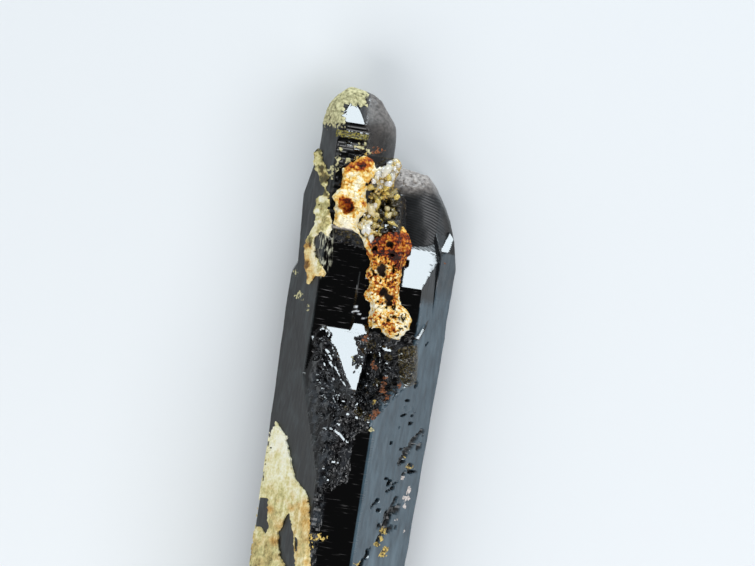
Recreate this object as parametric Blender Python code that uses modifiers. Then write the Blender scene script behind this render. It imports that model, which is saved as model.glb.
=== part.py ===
"""Rough morion quartz: a black smoky crystal lying on its back prism face.

Blender 4.5, +Z up. The c axis of every crystal runs along +Y, with the tips toward +Y.
Distances below are in millimetres from a working point under the prism: x across, y along the c axis, z up
from the back face. The shapes are made in millimetres, because exact cuts are safest at that size. At the end
the whole specimen is moved so that its origin is under its middle, and scaled to metres.
"""
import math
import random

import bmesh
import bpy
from mathutils import Matrix, Vector
from mathutils.bvhtree import BVHTree

METRES_PER_MM = 0.001

# Driving dimensions, in millimetres
BASE_Y = -28.0            # broken lower end
TIP_Y = 76.7              # tip of the finger crystal
LEFT_X = -13.2            # widest line of the prism, left
RIGHT_X = 13.05           # widest line of the prism, right
GIRDLE_Z = 5.6            # height of the widest line above the back face
FRONT_LOW_Z = 21.6        # front prism face below the big step
FRONT_HIGH_Z = 13.4       # front prism face above the big step
SHOULDER_Z = 8.0          # front face of the shoulder crystal
FINGER_X = -5.9           # axis of the finger crystal
FINGER_Z = 7.9
FINGER_HALF = 6.05        # centre to the finger's side edges
GAP = 0.3                 # clearance between a crust and what it covers
ORIGIN = (-0.17, 24.413)  # the working frame's x and y under the specimen's middle

# Quartz angles, in degrees
RHOMB = 38.2              # between the normals of a prism face and the pyramid face above it
TAPER = -1.9              # the back side faces lean in toward the base
FACE = 60.0               # between neighbouring prism faces

BLOCK = 400.0             # the block that each crystal is cut from, in millimetres
WELD = 0.002              # corners closer than this are one

# Crusts and coats, in millimetres
COAT_THICK = 0.45
SLAB_PROUD = 0.2          # the slab stands this far out of the left face
CRUST_VOXEL = 0.42        # size at which the crust's lumps melt together
CRUST_FACES = 2800
DRUSE_VOXEL = 0.5
DRUSE_FACES = 1100
DRUSE_ROWS = 7
DRUSE_COLUMNS = 4

# Base colours, linear
MORION_COLOR = (0.011, 0.010, 0.010)
LIMONITE_COLOR = (0.62, 0.38, 0.13)
DRUSE_COLOR = (0.72, 0.66, 0.42)
UPPER_CLAY_COLOR = (0.52, 0.46, 0.25)
LOWER_CLAY_COLOR = (0.62, 0.55, 0.32)
QUARTZ_IOR = 1.544

SPECIMEN = "rough_morion_quartz"
CUTTERS = "specimen_cutters"


def plane_normal(azimuth, tilt):
    """Azimuth turns from +Z toward +X about the c axis, tilt leans the face toward the tip."""
    a, t = math.radians(azimuth), math.radians(tilt)
    return Vector((math.sin(a) * math.cos(t), math.sin(t), math.cos(a) * math.cos(t)))


def faceted(name, planes, grow=0.0):
    """A convex crystal: a block cut by planes, each an azimuth, a tilt and a point in millimetres."""
    bm = bmesh.new()
    bmesh.ops.create_cube(bm, size=BLOCK)
    for azimuth, tilt, point in planes:
        normal = plane_normal(azimuth, tilt)
        place = Vector(point) + normal * grow
        everything = bm.verts[:] + bm.edges[:] + bm.faces[:]
        cut = bmesh.ops.bisect_plane(bm, geom=everything, plane_co=place, plane_no=normal,
                                     dist=1e-6, clear_outer=True)
        rim = [item for item in cut["geom_cut"] if isinstance(item, bmesh.types.BMEdge)]
        if rim:
            bmesh.ops.edgeloop_fill(bm, edges=rim)
    bmesh.ops.recalc_face_normals(bm, faces=bm.faces)
    return to_object(name, bm)


def to_object(name, bm):
    """A new object of the specimen, in triangles so that every face is truly flat."""
    bmesh.ops.triangulate(bm, faces=bm.faces)
    mesh = bpy.data.meshes.new(name)
    bm.to_mesh(mesh)
    bm.free()
    obj = bpy.data.objects.new(name, mesh)
    bpy.data.collections[SPECIMEN].objects.link(obj)
    return obj


def bake(obj):
    """Keep the evaluated mesh and drop the modifiers."""
    graph = bpy.context.evaluated_depsgraph_get()
    mesh = bpy.data.meshes.new_from_object(obj.evaluated_get(graph))
    obj.modifiers.clear()
    obj.data = mesh


def combine(obj, tools, operation):
    """Join or cut an object with others in one exact step. The others are used up."""
    cutters = bpy.data.collections[CUTTERS]
    for tool in tools:
        bpy.data.collections[SPECIMEN].objects.unlink(tool)
        cutters.objects.link(tool)
    boolean = obj.modifiers.new(operation.lower(), "BOOLEAN")
    boolean.operation = operation
    boolean.solver = "EXACT"
    boolean.operand_type = "COLLECTION"
    boolean.collection = cutters
    bake(obj)
    for tool in tools:
        bpy.data.objects.remove(tool)
    return obj


def keep_largest(obj):
    """Weld the seams that a cut leaves, and drop the crumbs beside the main body."""
    bm = bmesh.new()
    bm.from_mesh(obj.data)
    bmesh.ops.remove_doubles(bm, verts=bm.verts, dist=WELD)
    bmesh.ops.dissolve_degenerate(bm, edges=bm.edges, dist=WELD)
    bmesh.ops.triangulate(bm, faces=bm.faces)
    left = set(bm.verts)
    islands = []
    while left:
        reached = {left.pop()}
        front = list(reached)
        while front:
            vert = front.pop()
            for edge in vert.link_edges:
                other = edge.other_vert(vert)
                if other in left:
                    left.discard(other)
                    reached.add(other)
                    front.append(other)
        islands.append(reached)
    islands.sort(key=len)
    for crumb in islands[:-1]:
        bmesh.ops.delete(bm, geom=list(crumb), context="VERTS")
    bm.to_mesh(obj.data)
    bm.free()


def finish_material(obj, name, color, roughness, transmission=0.0):
    material = bpy.data.materials.new(name)
    material.use_nodes = True
    shader = material.node_tree.nodes["Principled BSDF"]
    shader.inputs["Base Color"].default_value = (*color, 1.0)
    shader.inputs["Roughness"].default_value = roughness
    shader.inputs["Metallic"].default_value = 0.0
    shader.inputs["Transmission Weight"].default_value = transmission
    shader.inputs["IOR"].default_value = QUARTZ_IOR
    obj.data.materials.clear()
    obj.data.materials.append(material)


def prism_faces(front_z, left=(LEFT_X, GIRDLE_Z), right=(RIGHT_X, GIRDLE_Z), back_z=0.0):
    """The six prism faces, the two lower side faces leaning in toward the base."""
    middle_y = 40.0
    return [(0, 0, (0, 0, front_z)),
            (FACE, 0, (right[0], middle_y, right[1])),
            (-FACE, 0, (left[0], middle_y, left[1])),
            (2 * FACE, TAPER, (right[0], middle_y, right[1])),
            (-2 * FACE, TAPER, (left[0], middle_y, left[1])),
            (180, 0, (0, 0, back_z))]


def broken_base(shift=0.0):
    """The lower end broke across in three uneven facets."""
    y = BASE_Y + shift
    return [(0, -81, (0, y, 6)),
            (140, -76, (4, y + 0.6, 10)),
            (-75, -74, (-4, y + 0.9, 12))]


def strip_face():
    """The mottled face that widens up the left of the front, from the low prism to the big step."""
    on_step_left = Vector((-5.3, 36.2, 14.75))
    on_step_low = Vector((-0.9, 28.8, 20.6))
    on_left_edge = Vector((-7.4, 26.3, 15.3))
    normal = (on_step_low - on_step_left).cross(on_left_edge - on_step_left).normalized()
    if normal.z < 0:
        normal = -normal
    tilt = math.degrees(math.asin(normal.y))
    azimuth = math.degrees(math.atan2(normal.x, normal.z))
    return azimuth, tilt, tuple(on_step_left)


def right_outline(inset):
    """Upright faces round the upper right end. The inset keeps crystals that share them off each other."""
    faces = ((12, 12.5, 53.4), (20, 12.13, 54.96), (31.5, 10.99, 58.05), (35, 9.21, 61.0), (48, 7.0, 63.65),
             (82, 4.0, 64.8))
    return [(90, tilt, (x - inset, y - inset, 0)) for tilt, x, y in faces]


def left_notch(inset):
    """The upright face that ends the prism's left edge, where the slab's begins."""
    return [(-90, 22, (-13.1 + inset, 46.1 - inset, 0))]


def crystals():
    """Every individual of the parallel growth, by name."""
    low = prism_faces(FRONT_LOW_Z)
    upper_right = (RIGHT_X - 0.1, GIRDLE_Z)
    high = prism_faces(FRONT_HIGH_Z, (LEFT_X + 0.12, GIRDLE_Z), upper_right, back_z=0.15)
    high_too = prism_faces(FRONT_HIGH_Z - 0.06, (LEFT_X + 0.22, GIRDLE_Z), upper_right, back_z=0.24)
    start = [(0, -90, (0, 10, 0))]
    return {
        "low_left": low + broken_base() + left_notch(0) + [
            strip_face(),
            (0, RHOMB, (0, 27.6, FRONT_LOW_Z)),
            (82, 0, (0.75, 33, FRONT_HIGH_Z + 3))],
        "low_right": low + broken_base(0.2) + [
            strip_face(),
            (8, 50, (3.9, 24.6, FRONT_LOW_Z)),
            (FACE, RHOMB, (9.3, 31.0, FRONT_HIGH_Z))],
        "high_left": high + start + left_notch(0.1) + [
            (0, RHOMB, (0, 54.3, FRONT_HIGH_Z)),
            (180, RHOMB, (0, 58, 0)),
            (-FACE, RHOMB, (-9, 58.5, 10)),
            (75, 12, (4.6, 47, FRONT_HIGH_Z))],
        "high_right": high_too + start + left_notch(0.2) + right_outline(0.25) + [
            (0, RHOMB, (0, 46.2, FRONT_HIGH_Z)),
            (180, RHOMB, (0, 57, 0)),
            (57, 13, (8.25, 46.2, FRONT_HIGH_Z - 0.3)),
            (FACE, RHOMB, (10.2, 52.0, 8.6))],
        "rib": prism_faces(11.2, (6.0, 4.0), (12.75, 5.6), 0.3) + start + right_outline(0.12) + [
            (30, RHOMB, (10.4, 52.4, 9.2)),
            (FACE, 25, (11.35, 55.0, 7.6))],
        "shoulder": prism_faces(SHOULDER_Z, (-3.5, 4.6), (12.85, 5.2), 0.25) + start + right_outline(0) + [
            (25, 5, (6.5, 57, SHOULDER_Z)),
            (40, 14, (9.0, 58, 7.0)),
            (78, 16, (12.3, 54.5, 4.8)),
            (78, 31, (11.0, 58.1, 4.8)),
            (74, 46, (8.6, 61.9, 4.8)),
            (30, 62, (5.4, 64.7, 5.0)),
            (-20, 78, (1.5, 65.6, 4.5)),
            (0, 40, (4, 62.6, 7.6)),
            (180, 52, (4, 64, 1.6)),
            (-95, 8, (-1.6, 60, 4.0))],
        "slab": prism_faces(12.0, (LEFT_X - SLAB_PROUD, GIRDLE_Z - 0.1), (-6.0, 5.0), 0.5) + [
            (0, -90, (0, 46.6, 0)),
            (-90, -4.2, (-12.75, 52.5, 0)),
            (-90, 11, (-12.5, 62, 0)),
            (-140, -40, (-12.7, 47.6, 4.0)),
            (60, 48, (-10.4, 63.6, 9.6)),
            (0, 48, (-11.4, 63.4, 9.8)),
            (180, 35, (-11, 60, 1.2))],
        "finger": finger_planes(),
    }


def finger_planes():
    """A short six-sided prism with a blunt, rounded tip that leans to the left."""
    apothem = FINGER_HALF * math.cos(math.radians(FACE / 2))
    centre = Vector((FINGER_X, 0, FINGER_Z))
    planes = []
    for side in range(6):
        azimuth = side * FACE
        planes.append((azimuth, 0, tuple(centre + plane_normal(azimuth, 0) * apothem)))
    right_shoulder = (-4.1, TIP_Y - 0.6, FINGER_Z)
    left_shoulder = (-9.35, TIP_Y - 1.0, FINGER_Z)
    planes += [(0, RHOMB, (0, 71.1, FINGER_Z + apothem)),
               (FACE, RHOMB, right_shoulder),
               (2 * FACE, RHOMB, right_shoulder),
               (180, RHOMB, (0, 71.6, FINGER_Z - apothem)),
               (-FACE, RHOMB, left_shoulder),
               (-2 * FACE, RHOMB, left_shoulder),
               (60, 77, (-4.7, TIP_Y - 0.85, FINGER_Z)),
               (84, 17, (-0.12, 70.7, FINGER_Z)),
               (-86, 11, (-11.6, 70.9, FINGER_Z)),
               (0, -90, (0, 50, 0))]
    return planes


def height_finder(obj):
    """A function that gives the height of an object's upper surface at x, y."""
    bm = bmesh.new()
    bm.from_mesh(obj.data)
    tree = BVHTree.FromBMesh(bm)
    bm.free()

    def height(x, y, least=0.0):
        hit = tree.ray_cast(Vector((x, y, BLOCK)), Vector((0, 0, -1)))[0]
        return max(least, hit.z if hit else least)
    return height


def ledges(height):
    """Small parallel crystals that stand in steps over the etched zone of the front."""
    rows = [  # x and y where the step leaves the surface, half-width, reach of its front face, tip tilt
        (2.0, 22.6, 1.0, 2.4, 62), (3.3, 23.6, 0.7, 1.6, 55), (3.6, 26.2, 1.2, 1.3, 60),
        (1.7, 27.1, 0.8, 1.2, 57), (5.5, 27.6, 0.9, 1.1, 60), (2.6, 28.6, 0.9, 1.0, 58),
        (4.6, 29.3, 0.8, 0.9, 55), (6.6, 29.2, 0.8, 1.2, 50),
        (2.0, 30.4, 0.8, 3.4, RHOMB), (4.2, 30.9, 1.2, 2.6, RHOMB), (6.6, 30.9, 1.1, 3.6, RHOMB),
        (-3.4, 24.6, 0.7, 1.8, 45), (-5.0, 26.8, 0.7, 2.0, 45), (-4.1, 29.6, 0.6, 1.6, RHOMB),
        (-6.0, 30.4, 0.8, 2.2, RHOMB), (-5.6, 33.9, 0.7, 1.9, RHOMB), (-7.0, 34.6, 0.7, 2.6, RHOMB)]
    proud, stagger = 0.35, 0.012  # no two ledges are exactly level
    depth = 4.0
    steps = []
    for number, (x, y, half, reach, tilt) in enumerate(rows):
        front = height(x, y) + proud + stagger * number
        tip = (x, y + reach, front)
        planes = [(0, 0, tip),
                  (FACE, 0, (x + half, y, front)),
                  (-FACE, 0, (x - half, y, front)),
                  (FACE, 0, (RIGHT_X - 0.06, y, GIRDLE_Z)),
                  (-FACE, 0, (LEFT_X + 0.06, y, GIRDLE_Z)),
                  (180, 0, (x, y, front - depth)),
                  (0, tilt, tip),
                  (FACE, RHOMB, (x + 0.35 * half, y + reach, front)),
                  (-FACE, RHOMB, (x - 0.35 * half, y + reach, front)),
                  (180, -RHOMB, (x, y, front - proud))]
        steps.append(faceted(f"ledge_{number}", planes))
    return steps


def etch_pits():
    """Shallow slanted pits on the right face, and shell-shaped bites out of the broken base."""
    pits = [  # x, y, length, width, slant in degrees
        (10.7, 20.4, 5.0, 1.5, 24), (12.1, 21.6, 3.0, 0.9, 20), (9.0, 15.4, 2.4, 0.7, 48),
        (8.3, 30.6, 1.6, 1.2, 0), (6.9, 8.4, 5.4, 1.7, 12), (7.6, 3.6, 3.6, 1.3, 18),
        (11.3, 44.0, 1.8, 0.8, 10), (7.2, -11.0, 6.0, 1.6, 16)]
    face_normal = plane_normal(FACE, 0)
    turn_to_face = face_normal.to_track_quat("Z", "Y").to_matrix().to_4x4()
    cutters = []
    for x, y, length, width, slant in pits:
        height = GIRDLE_Z + (RIGHT_X - x) * math.tan(math.radians(FACE))
        centre = Vector((x, y, height)) + face_normal * (0.12 * width)
        turn = turn_to_face @ Matrix.Rotation(math.radians(slant), 4, "Z")
        cutters.append(ball("pit", centre, (width * 0.62, length * 0.55, width * 0.42), turn))
    for centre, radius in (((5.5, BASE_Y - 5.5, 15.5), 8.0), ((-7.0, BASE_Y - 8.5, 7.5), 10.5),
                           ((9.5, BASE_Y - 5.4, 4.0), 6.6)):
        cutters.append(ball("bite", centre, (radius, radius, radius)))
    return cutters


def ball(name, centre, radii, turn=Matrix.Identity(4)):
    """A low-faced ball, stretched and turned into place."""
    bm = bmesh.new()
    stretch = Matrix.Diagonal((*radii, 1.0))
    bmesh.ops.create_icosphere(bm, subdivisions=2, radius=1.0,
                               matrix=Matrix.Translation(Vector(centre)) @ turn @ stretch)
    return to_object(name, bm)


def quartz_alone():
    """The grown-together crystals, before their ledges and pits."""
    solids = [faceted(name, planes) for name, planes in crystals().items()]
    return combine(solids[0], solids[1:], "UNION")


def morion_crystal(body, height):
    combine(body, ledges(height), "UNION")
    combine(body, etch_pits(), "DIFFERENCE")
    keep_largest(body)
    body.name = body.data.name = "morion_crystal"
    finish_material(body, "smoky_black_quartz", MORION_COLOR, 0.08)
    return body


def lumps(name, blobs, voxel, target_faces):
    """Balls melted into one lumpy body, each a centre and a radius in millimetres."""
    bm = bmesh.new()
    for x, y, z, radius in blobs:
        place = Matrix.Translation(Vector((x, y, z)))
        bmesh.ops.create_icosphere(bm, subdivisions=2, radius=radius, matrix=place)
    body = to_object(name, bm)
    remesh = body.modifiers.new("melt", "REMESH")
    remesh.mode = "VOXEL"
    remesh.voxel_size = voxel
    bake(body)
    thin = body.modifiers.new("thin", "DECIMATE")
    thin.ratio = min(1.0, target_faces / (2 * len(body.data.polygons)))
    bake(body)
    return body


def spread(points, step, radius, rng, height, least, sink=0.35):
    """Balls laid over the quartz along a path. A point is x, y and the half-width of the crust there."""
    balls = []
    for (x0, y0, w0), (x1, y1, w1) in zip(points, points[1:]):
        count = max(1, round(math.dist((x0, y0), (x1, y1)) / step))
        for k in range(count):
            t = k / count
            width = w0 + (w1 - w0) * t
            across = max(1, round(2 * width / step))
            for row in range(across + 1):
                x = x0 + (x1 - x0) * t - width + 2 * width * row / across + rng.uniform(-0.25, 0.25)
                y = y0 + (y1 - y0) * t + rng.uniform(-0.25, 0.25)
                size = radius * rng.uniform(0.75, 1.3)
                balls.append((x, y, height(x, y, least) - sink * size + rng.uniform(0, 0.35), size))
    return balls


def druse_domain(grow=0.0):
    """The part of the hollow that the small clear crystals fill."""
    return faceted("druse_domain", [
        (-90, 0, (-2.9, 60, 10)), (90, 0, (7.0, 60, 10)), (0, -90, (0, 53.6, 0)), (0, 90, (0, 69.0, 0)),
        (0, 0, (0, 0, 30)), (180, 0, (0, 0, 4))], grow)


def quartz_around(grow):
    """The crystals that carry the crusts, swelled by a clearance."""
    return [faceted(f"{name}_swelled", planes, grow) for name, planes in crystals().items()]


def limonite_crust(height):
    rng = random.Random(5)
    crater = (-6.2, 58.3, 15.0)
    hollow_floor = 11.6
    hollow = [(-5.2, 65.2, 2.0), (-5.0, 63.0, 2.5), (-4.9, 60.5, 2.7), (-4.8, 57.5, 2.8), (-4.6, 55.0, 2.2),
              (-2.4, 53.2, 1.8), (0.9, 52.6, 3.2), (1.4, 50.6, 2.7)]
    band = [(1.4, 50.6, 2.7), (1.8, 47.5, 2.3), (2.6, 44.4, 2.2), (3.6, 42.0, 2.8), (4.0, 40.0, 2.3),
            (4.9, 38.0, 0.8)]
    balls = spread(hollow, 1.2, 1.3, rng, height, hollow_floor, sink=-0.1)
    balls += spread(band, 1.1, 1.15, rng, height, hollow_floor)
    rim_count = 12
    for k in range(rim_count):
        angle = 2 * math.pi * k / rim_count
        balls.append((crater[0] + 2.0 * math.cos(angle), crater[1] + 1.9 * math.sin(angle), 14.5, 0.85))
    body = lumps("limonite_crust", balls, CRUST_VOXEL, CRUST_FACES)
    hole = ball("crater_hole", crater, (1.25, 1.2, 1.9))
    combine(body, [hole, druse_domain(GAP)] + quartz_around(GAP), "DIFFERENCE")
    keep_largest(body)
    finish_material(body, "limonite", LIMONITE_COLOR, 0.9)
    return body


def quartz_druse(height):
    rng = random.Random(10)
    path = [(-0.6, 64.9, 1.5), (0.0, 62.6, 2.6), (0.3, 59.0, 3.0), (0.5, 55.8, 2.9), (0.5, 53.9, 2.7)]
    hollow_floor = 8.8
    seat = spread(path, 1.5, 1.4, rng, height, hollow_floor, sink=0.1)
    body = lumps("quartz_druse", seat, DRUSE_VOXEL, DRUSE_FACES)
    points = []
    for row in range(DRUSE_ROWS):
        for column in range(DRUSE_COLUMNS):
            x = -2.1 + (1.65 - 0.08 * row) * column + rng.uniform(-0.4, 0.4)
            y = 54.6 + 1.6 * row + rng.uniform(-0.5, 0.5)
            points.append((x, y, height(x, y, hollow_floor) + 0.5))
    tips = [druse_point(f"point_{number}", place, rng) for number, place in enumerate(points)]
    combine(body, tips, "UNION")
    combine(body, [druse_domain()], "INTERSECT")
    combine(body, quartz_around(GAP), "DIFFERENCE")
    keep_largest(body)
    finish_material(body, "clear_quartz", DRUSE_COLOR, 0.12, transmission=0.5)
    return body


def druse_point(name, place, rng):
    """A small six-sided point standing out of the hollow."""
    radius = rng.uniform(0.75, 1.15)
    length = rng.uniform(1.6, 2.6)
    bm = bmesh.new()
    bmesh.ops.create_cone(bm, cap_ends=True, segments=6, radius1=radius, radius2=radius, depth=2.4,
                          matrix=Matrix.Translation((0, 0, -0.2)))
    top = [face for face in bm.faces if face.normal.z > 0.9]
    tip = bmesh.ops.poke(bm, faces=top)["verts"]
    bmesh.ops.translate(bm, verts=tip, vec=(0, 0, length * 0.55))
    lean = Matrix.Rotation(math.radians(rng.uniform(-32, 32)), 4, "X")
    roll = Matrix.Rotation(math.radians(rng.uniform(-32, 32)), 4, "Y")
    spin = Matrix.Rotation(math.radians(rng.uniform(0, 60)), 4, "Z")
    stand = Matrix.Translation(Vector(place)) @ lean @ roll @ spin
    bmesh.ops.transform(bm, verts=bm.verts, matrix=stand)
    return to_object(name, bm)


def coat(name, outline, windows, color):
    """A thin coat on the left prism face. Its outline is x across and y along, laid onto the face's slope."""
    curve = bpy.data.curves.new(name, "CURVE")
    curve.dimensions = "2D"
    curve.fill_mode = "BOTH"
    curve.extrude = 0.5 * COAT_THICK
    slope = math.radians(FACE)
    for loop in [outline] + windows:
        spline = curve.splines.new("POLY")
        spline.points.add(len(loop) - 1)
        spline.use_cyclic_u = True
        for point, (x, y) in zip(spline.points, loop):
            point.co = ((x - LEFT_X) / math.cos(slope), y, 0, 1)
    guide = bpy.data.objects.new(name + "_outline", curve)
    bpy.data.collections[SPECIMEN].objects.link(guide)
    normal = plane_normal(-FACE, 0)
    lift = SLAB_PROUD + GAP + 0.5 * COAT_THICK
    place = Vector((LEFT_X, 0, GIRDLE_Z)) + normal * lift
    guide.matrix_world = Matrix.Translation(place) @ Matrix.Rotation(-slope, 4, "Y")
    graph = bpy.context.evaluated_depsgraph_get()
    graph.update()
    mesh = bpy.data.meshes.new_from_object(guide.evaluated_get(graph))
    bm = bmesh.new()
    bm.from_mesh(mesh)
    bmesh.ops.transform(bm, verts=bm.verts, matrix=guide.matrix_world)
    bmesh.ops.remove_doubles(bm, verts=bm.verts, dist=WELD)
    bmesh.ops.recalc_face_normals(bm, faces=bm.faces)
    bpy.data.objects.remove(guide)
    body = to_object(name, bm)
    finish_material(body, name + "_clay", color, 0.95)
    return body


def upper_clay_coat():
    outline = [(-12.2, 65.4), (-12.0, 62.9), (-11.0, 61.1), (-10.2, 59.6), (-10.9, 58.4), (-11.1, 56.2),
               (-10.5, 54.7), (-11.2, 53.1), (-11.6, 50.4), (-11.4, 48.7), (-10.6, 45.5), (-10.1, 44.7),
               (-9.7, 45.4), (-9.0, 46.4), (-8.6, 46.2), (-8.7, 48.6), (-10.0, 50.4), (-8.7, 52.4),
               (-8.6, 53.9), (-8.9, 56.3), (-9.3, 58.6), (-9.9, 62.3), (-10.5, 63.7), (-11.4, 65.2)]
    return coat("upper_clay_coat", outline, [], UPPER_CLAY_COLOR)


def lower_clay_coat():
    outline = [(-11.9, 21.6), (-9.8, 19.5), (-8.8, 16.4), (-7.5, 12.9), (-5.4, 11.3), (-4.5, 9.1),
               (-4.1, 4.6), (-4.0, -0.6), (-4.6, -6.0), (-6.2, -8.4), (-7.0, -12.0), (-9.4, -14.2),
               (-11.4, -13.0), (-11.9, -8.0), (-12.2, -2.0), (-12.3, 3.2), (-12.5, 9.5), (-12.6, 14.0),
               (-12.6, 18.1)]
    dark_window = [(-12.0, 9.0), (-11.2, 9.0), (-10.7, 5.7), (-10.9, 3.4), (-11.7, 3.6)]
    dark_wedge = [(-7.4, 7.5), (-6.0, 4.8), (-5.5, 2.1), (-5.3, -1.0), (-5.9, -4.2), (-8.0, -4.6),
                  (-8.4, -1.4), (-8.3, 1.6), (-7.9, 4.5)]
    return coat("lower_clay_coat", outline, [dark_window, dark_wedge], LOWER_CLAY_COLOR)


def clear_scene():
    for obj in list(bpy.data.objects):
        bpy.data.objects.remove(obj)
    for name in (SPECIMEN, CUTTERS):
        if name not in bpy.data.collections:
            bpy.context.scene.collection.children.link(bpy.data.collections.new(name))
    bpy.context.view_layer.update()


def centre_specimen():
    """Put the origin under the middle of the specimen, on the surface that it rests on, in metres."""
    place = Matrix.Scale(METRES_PER_MM, 4) @ Matrix.Translation((-ORIGIN[0], -ORIGIN[1], 0))
    for obj in bpy.data.objects:
        obj.data.transform(place)


def main():
    clear_scene()
    quartz = quartz_alone()
    height = height_finder(quartz)
    morion_crystal(quartz, height)
    limonite_crust(height)
    quartz_druse(height)
    upper_clay_coat()
    lower_clay_coat()
    centre_specimen()


main()
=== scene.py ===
import math

import bpy
import numpy as np
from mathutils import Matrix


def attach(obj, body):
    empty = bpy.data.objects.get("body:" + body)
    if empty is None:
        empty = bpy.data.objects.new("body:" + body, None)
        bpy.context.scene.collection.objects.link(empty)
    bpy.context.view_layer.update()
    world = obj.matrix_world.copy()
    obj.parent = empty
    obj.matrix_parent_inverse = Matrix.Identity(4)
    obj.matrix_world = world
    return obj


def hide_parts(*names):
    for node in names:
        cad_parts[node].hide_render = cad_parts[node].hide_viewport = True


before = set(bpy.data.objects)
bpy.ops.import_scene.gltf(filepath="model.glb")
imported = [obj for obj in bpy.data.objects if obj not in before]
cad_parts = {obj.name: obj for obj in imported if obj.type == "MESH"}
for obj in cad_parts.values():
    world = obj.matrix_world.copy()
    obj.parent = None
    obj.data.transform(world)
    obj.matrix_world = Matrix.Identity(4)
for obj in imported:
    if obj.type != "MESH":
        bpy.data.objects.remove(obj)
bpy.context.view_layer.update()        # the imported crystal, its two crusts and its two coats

print("1 frame loaded")

# Shapes are worked out in millimetres from a point under the prism: x across, y along the c axis, z up.
rowShift = np.array([0.17, -24.413, 0.0])  # from that point to the row frame, in millimetres
mmToMetres = 0.001
quartzIor = 1.544


def linear(hexColor, alpha=1.0):  # sRGB hex to linear light
    parts = np.array([int(hexColor[k:k + 2], 16) for k in (1, 3, 5)]) / 255.0
    low, high = parts / 12.92, ((parts + 0.055) / 1.055) ** 2.4
    return (*np.where(parts <= 0.04045, low, high), alpha)


def fade(value, start, end):  # 0 before start, 1 after end, an S curve between; start may be above end
    t = np.clip((value - start) / (end - start), 0.0, 1.0)
    return t * t * (3 - 2 * t)


def cellNumber(ix, iy, seed):  # a repeatable number from 0 to 1 for each whole-number cell
    h = (ix * 374761393 + iy * 668265263 + seed * 974634777) & 0xffffffff
    h = ((h ^ (h >> 13)) * 1274126177) & 0xffffffff
    return ((h ^ (h >> 16)) & 0xffffff) / float(0xffffff)


def softNoise(x, y, size, seed):  # each cell corner has a random value, blended with S curves between them
    gx, gy = np.asarray(x) / size, np.asarray(y) / size
    ix, iy = np.floor(gx).astype(np.int64), np.floor(gy).astype(np.int64)
    fx, fy = gx - ix, gy - iy
    fx, fy = fx * fx * (3 - 2 * fx), fy * fy * (3 - 2 * fy)
    near = cellNumber(ix, iy, seed) * (1 - fx) + cellNumber(ix + 1, iy, seed) * fx
    far = cellNumber(ix, iy + 1, seed) * (1 - fx) + cellNumber(ix + 1, iy + 1, seed) * fx
    return near * (1 - fy) + far * fy


def cloud(x, y, size, seed, layers=3):  # soft noise in ever finer layers, each half as strong; 0 to 1
    shares = [0.5 ** k for k in range(layers)]
    return sum(s * softNoise(x, y, size * s, seed + 11 * k) for k, s in enumerate(shares)) / sum(shares)


def grains(x, y, size, seed):
    # round grains on a jittered grid: height 1 at a middle, 0 half a cell off; and its number
    gx, gy = np.asarray(x) / size, np.asarray(y) / size
    ix, iy = np.floor(gx).astype(np.int64), np.floor(gy).astype(np.int64)
    nearest = np.full(gx.shape, 9.0)
    number = np.zeros(gx.shape)
    for ox in (-1, 0, 1):
        for oy in (-1, 0, 1):
            cx, cy = ix + ox, iy + oy
            px = cx + 0.15 + 0.7 * cellNumber(cx, cy, seed)
            py = cy + 0.15 + 0.7 * cellNumber(cx, cy, seed + 1)
            apart = (gx - px) ** 2 + (gy - py) ** 2
            number = np.where(apart < nearest, cellNumber(cx, cy, seed + 2), number)
            nearest = np.minimum(nearest, apart)
    return np.clip(1 - 1.6 * nearest, 0, 1), number


def growthScales(across, along, width, length, seed):
    # brick cells that rise slowly along the c axis and fall back at once, as growth steps on quartz do
    iy = np.floor(along / length).astype(np.int64)
    shifted = across / width + cellNumber(iy, iy * 0, seed)
    ix = np.floor(shifted).astype(np.int64)
    fx, fy = shifted - ix, along / length - iy
    present = cellNumber(ix, iy, seed + 1)
    reach = 0.45 + 0.5 * cellNumber(ix, iy, seed + 2)  # where along the cell the step falls
    rise = np.where(fy < reach, fy / reach, np.clip(1 - (fy - reach) * length / 0.16, 0, 1))
    window = fade(0.5 - np.abs(fx - 0.5), 0.0, 0.12)
    return rise * window, present


def outlineDepth(x, y, outline):  # how far a point is inside an outline, in millimetres, negative outside
    x, y = np.asarray(x, float), np.asarray(y, float)
    nearest = np.full(x.shape, 1e9)
    inside = np.zeros(x.shape, bool)
    for (ax, ay), (bx, by) in zip(outline, outline[1:] + outline[:1]):
        ex, ey = bx - ax, by - ay
        t = np.clip(((x - ax) * ex + (y - ay) * ey) / (ex * ex + ey * ey), 0, 1)
        nearest = np.minimum(nearest, np.hypot(x - ax - t * ex, y - ay - t * ey))
        crosses = (ay > y) != (by > y)
        inside ^= crosses & (x < ax + (y - ay) * ex / (ey if ey else 1e-9))
    return np.where(inside, nearest, -nearest)


def spots(x, y, places):
    # strongest at each place, fading to 0 at its radius; a fourth number is the strength
    best = np.zeros(np.shape(x))
    for px, py, radius, *strength in places:
        near = fade(np.hypot(x - px, y - py), radius, 0.2 * radius)
        best = np.maximum(best, near * (strength or [1.0])[0])
    return best


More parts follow.
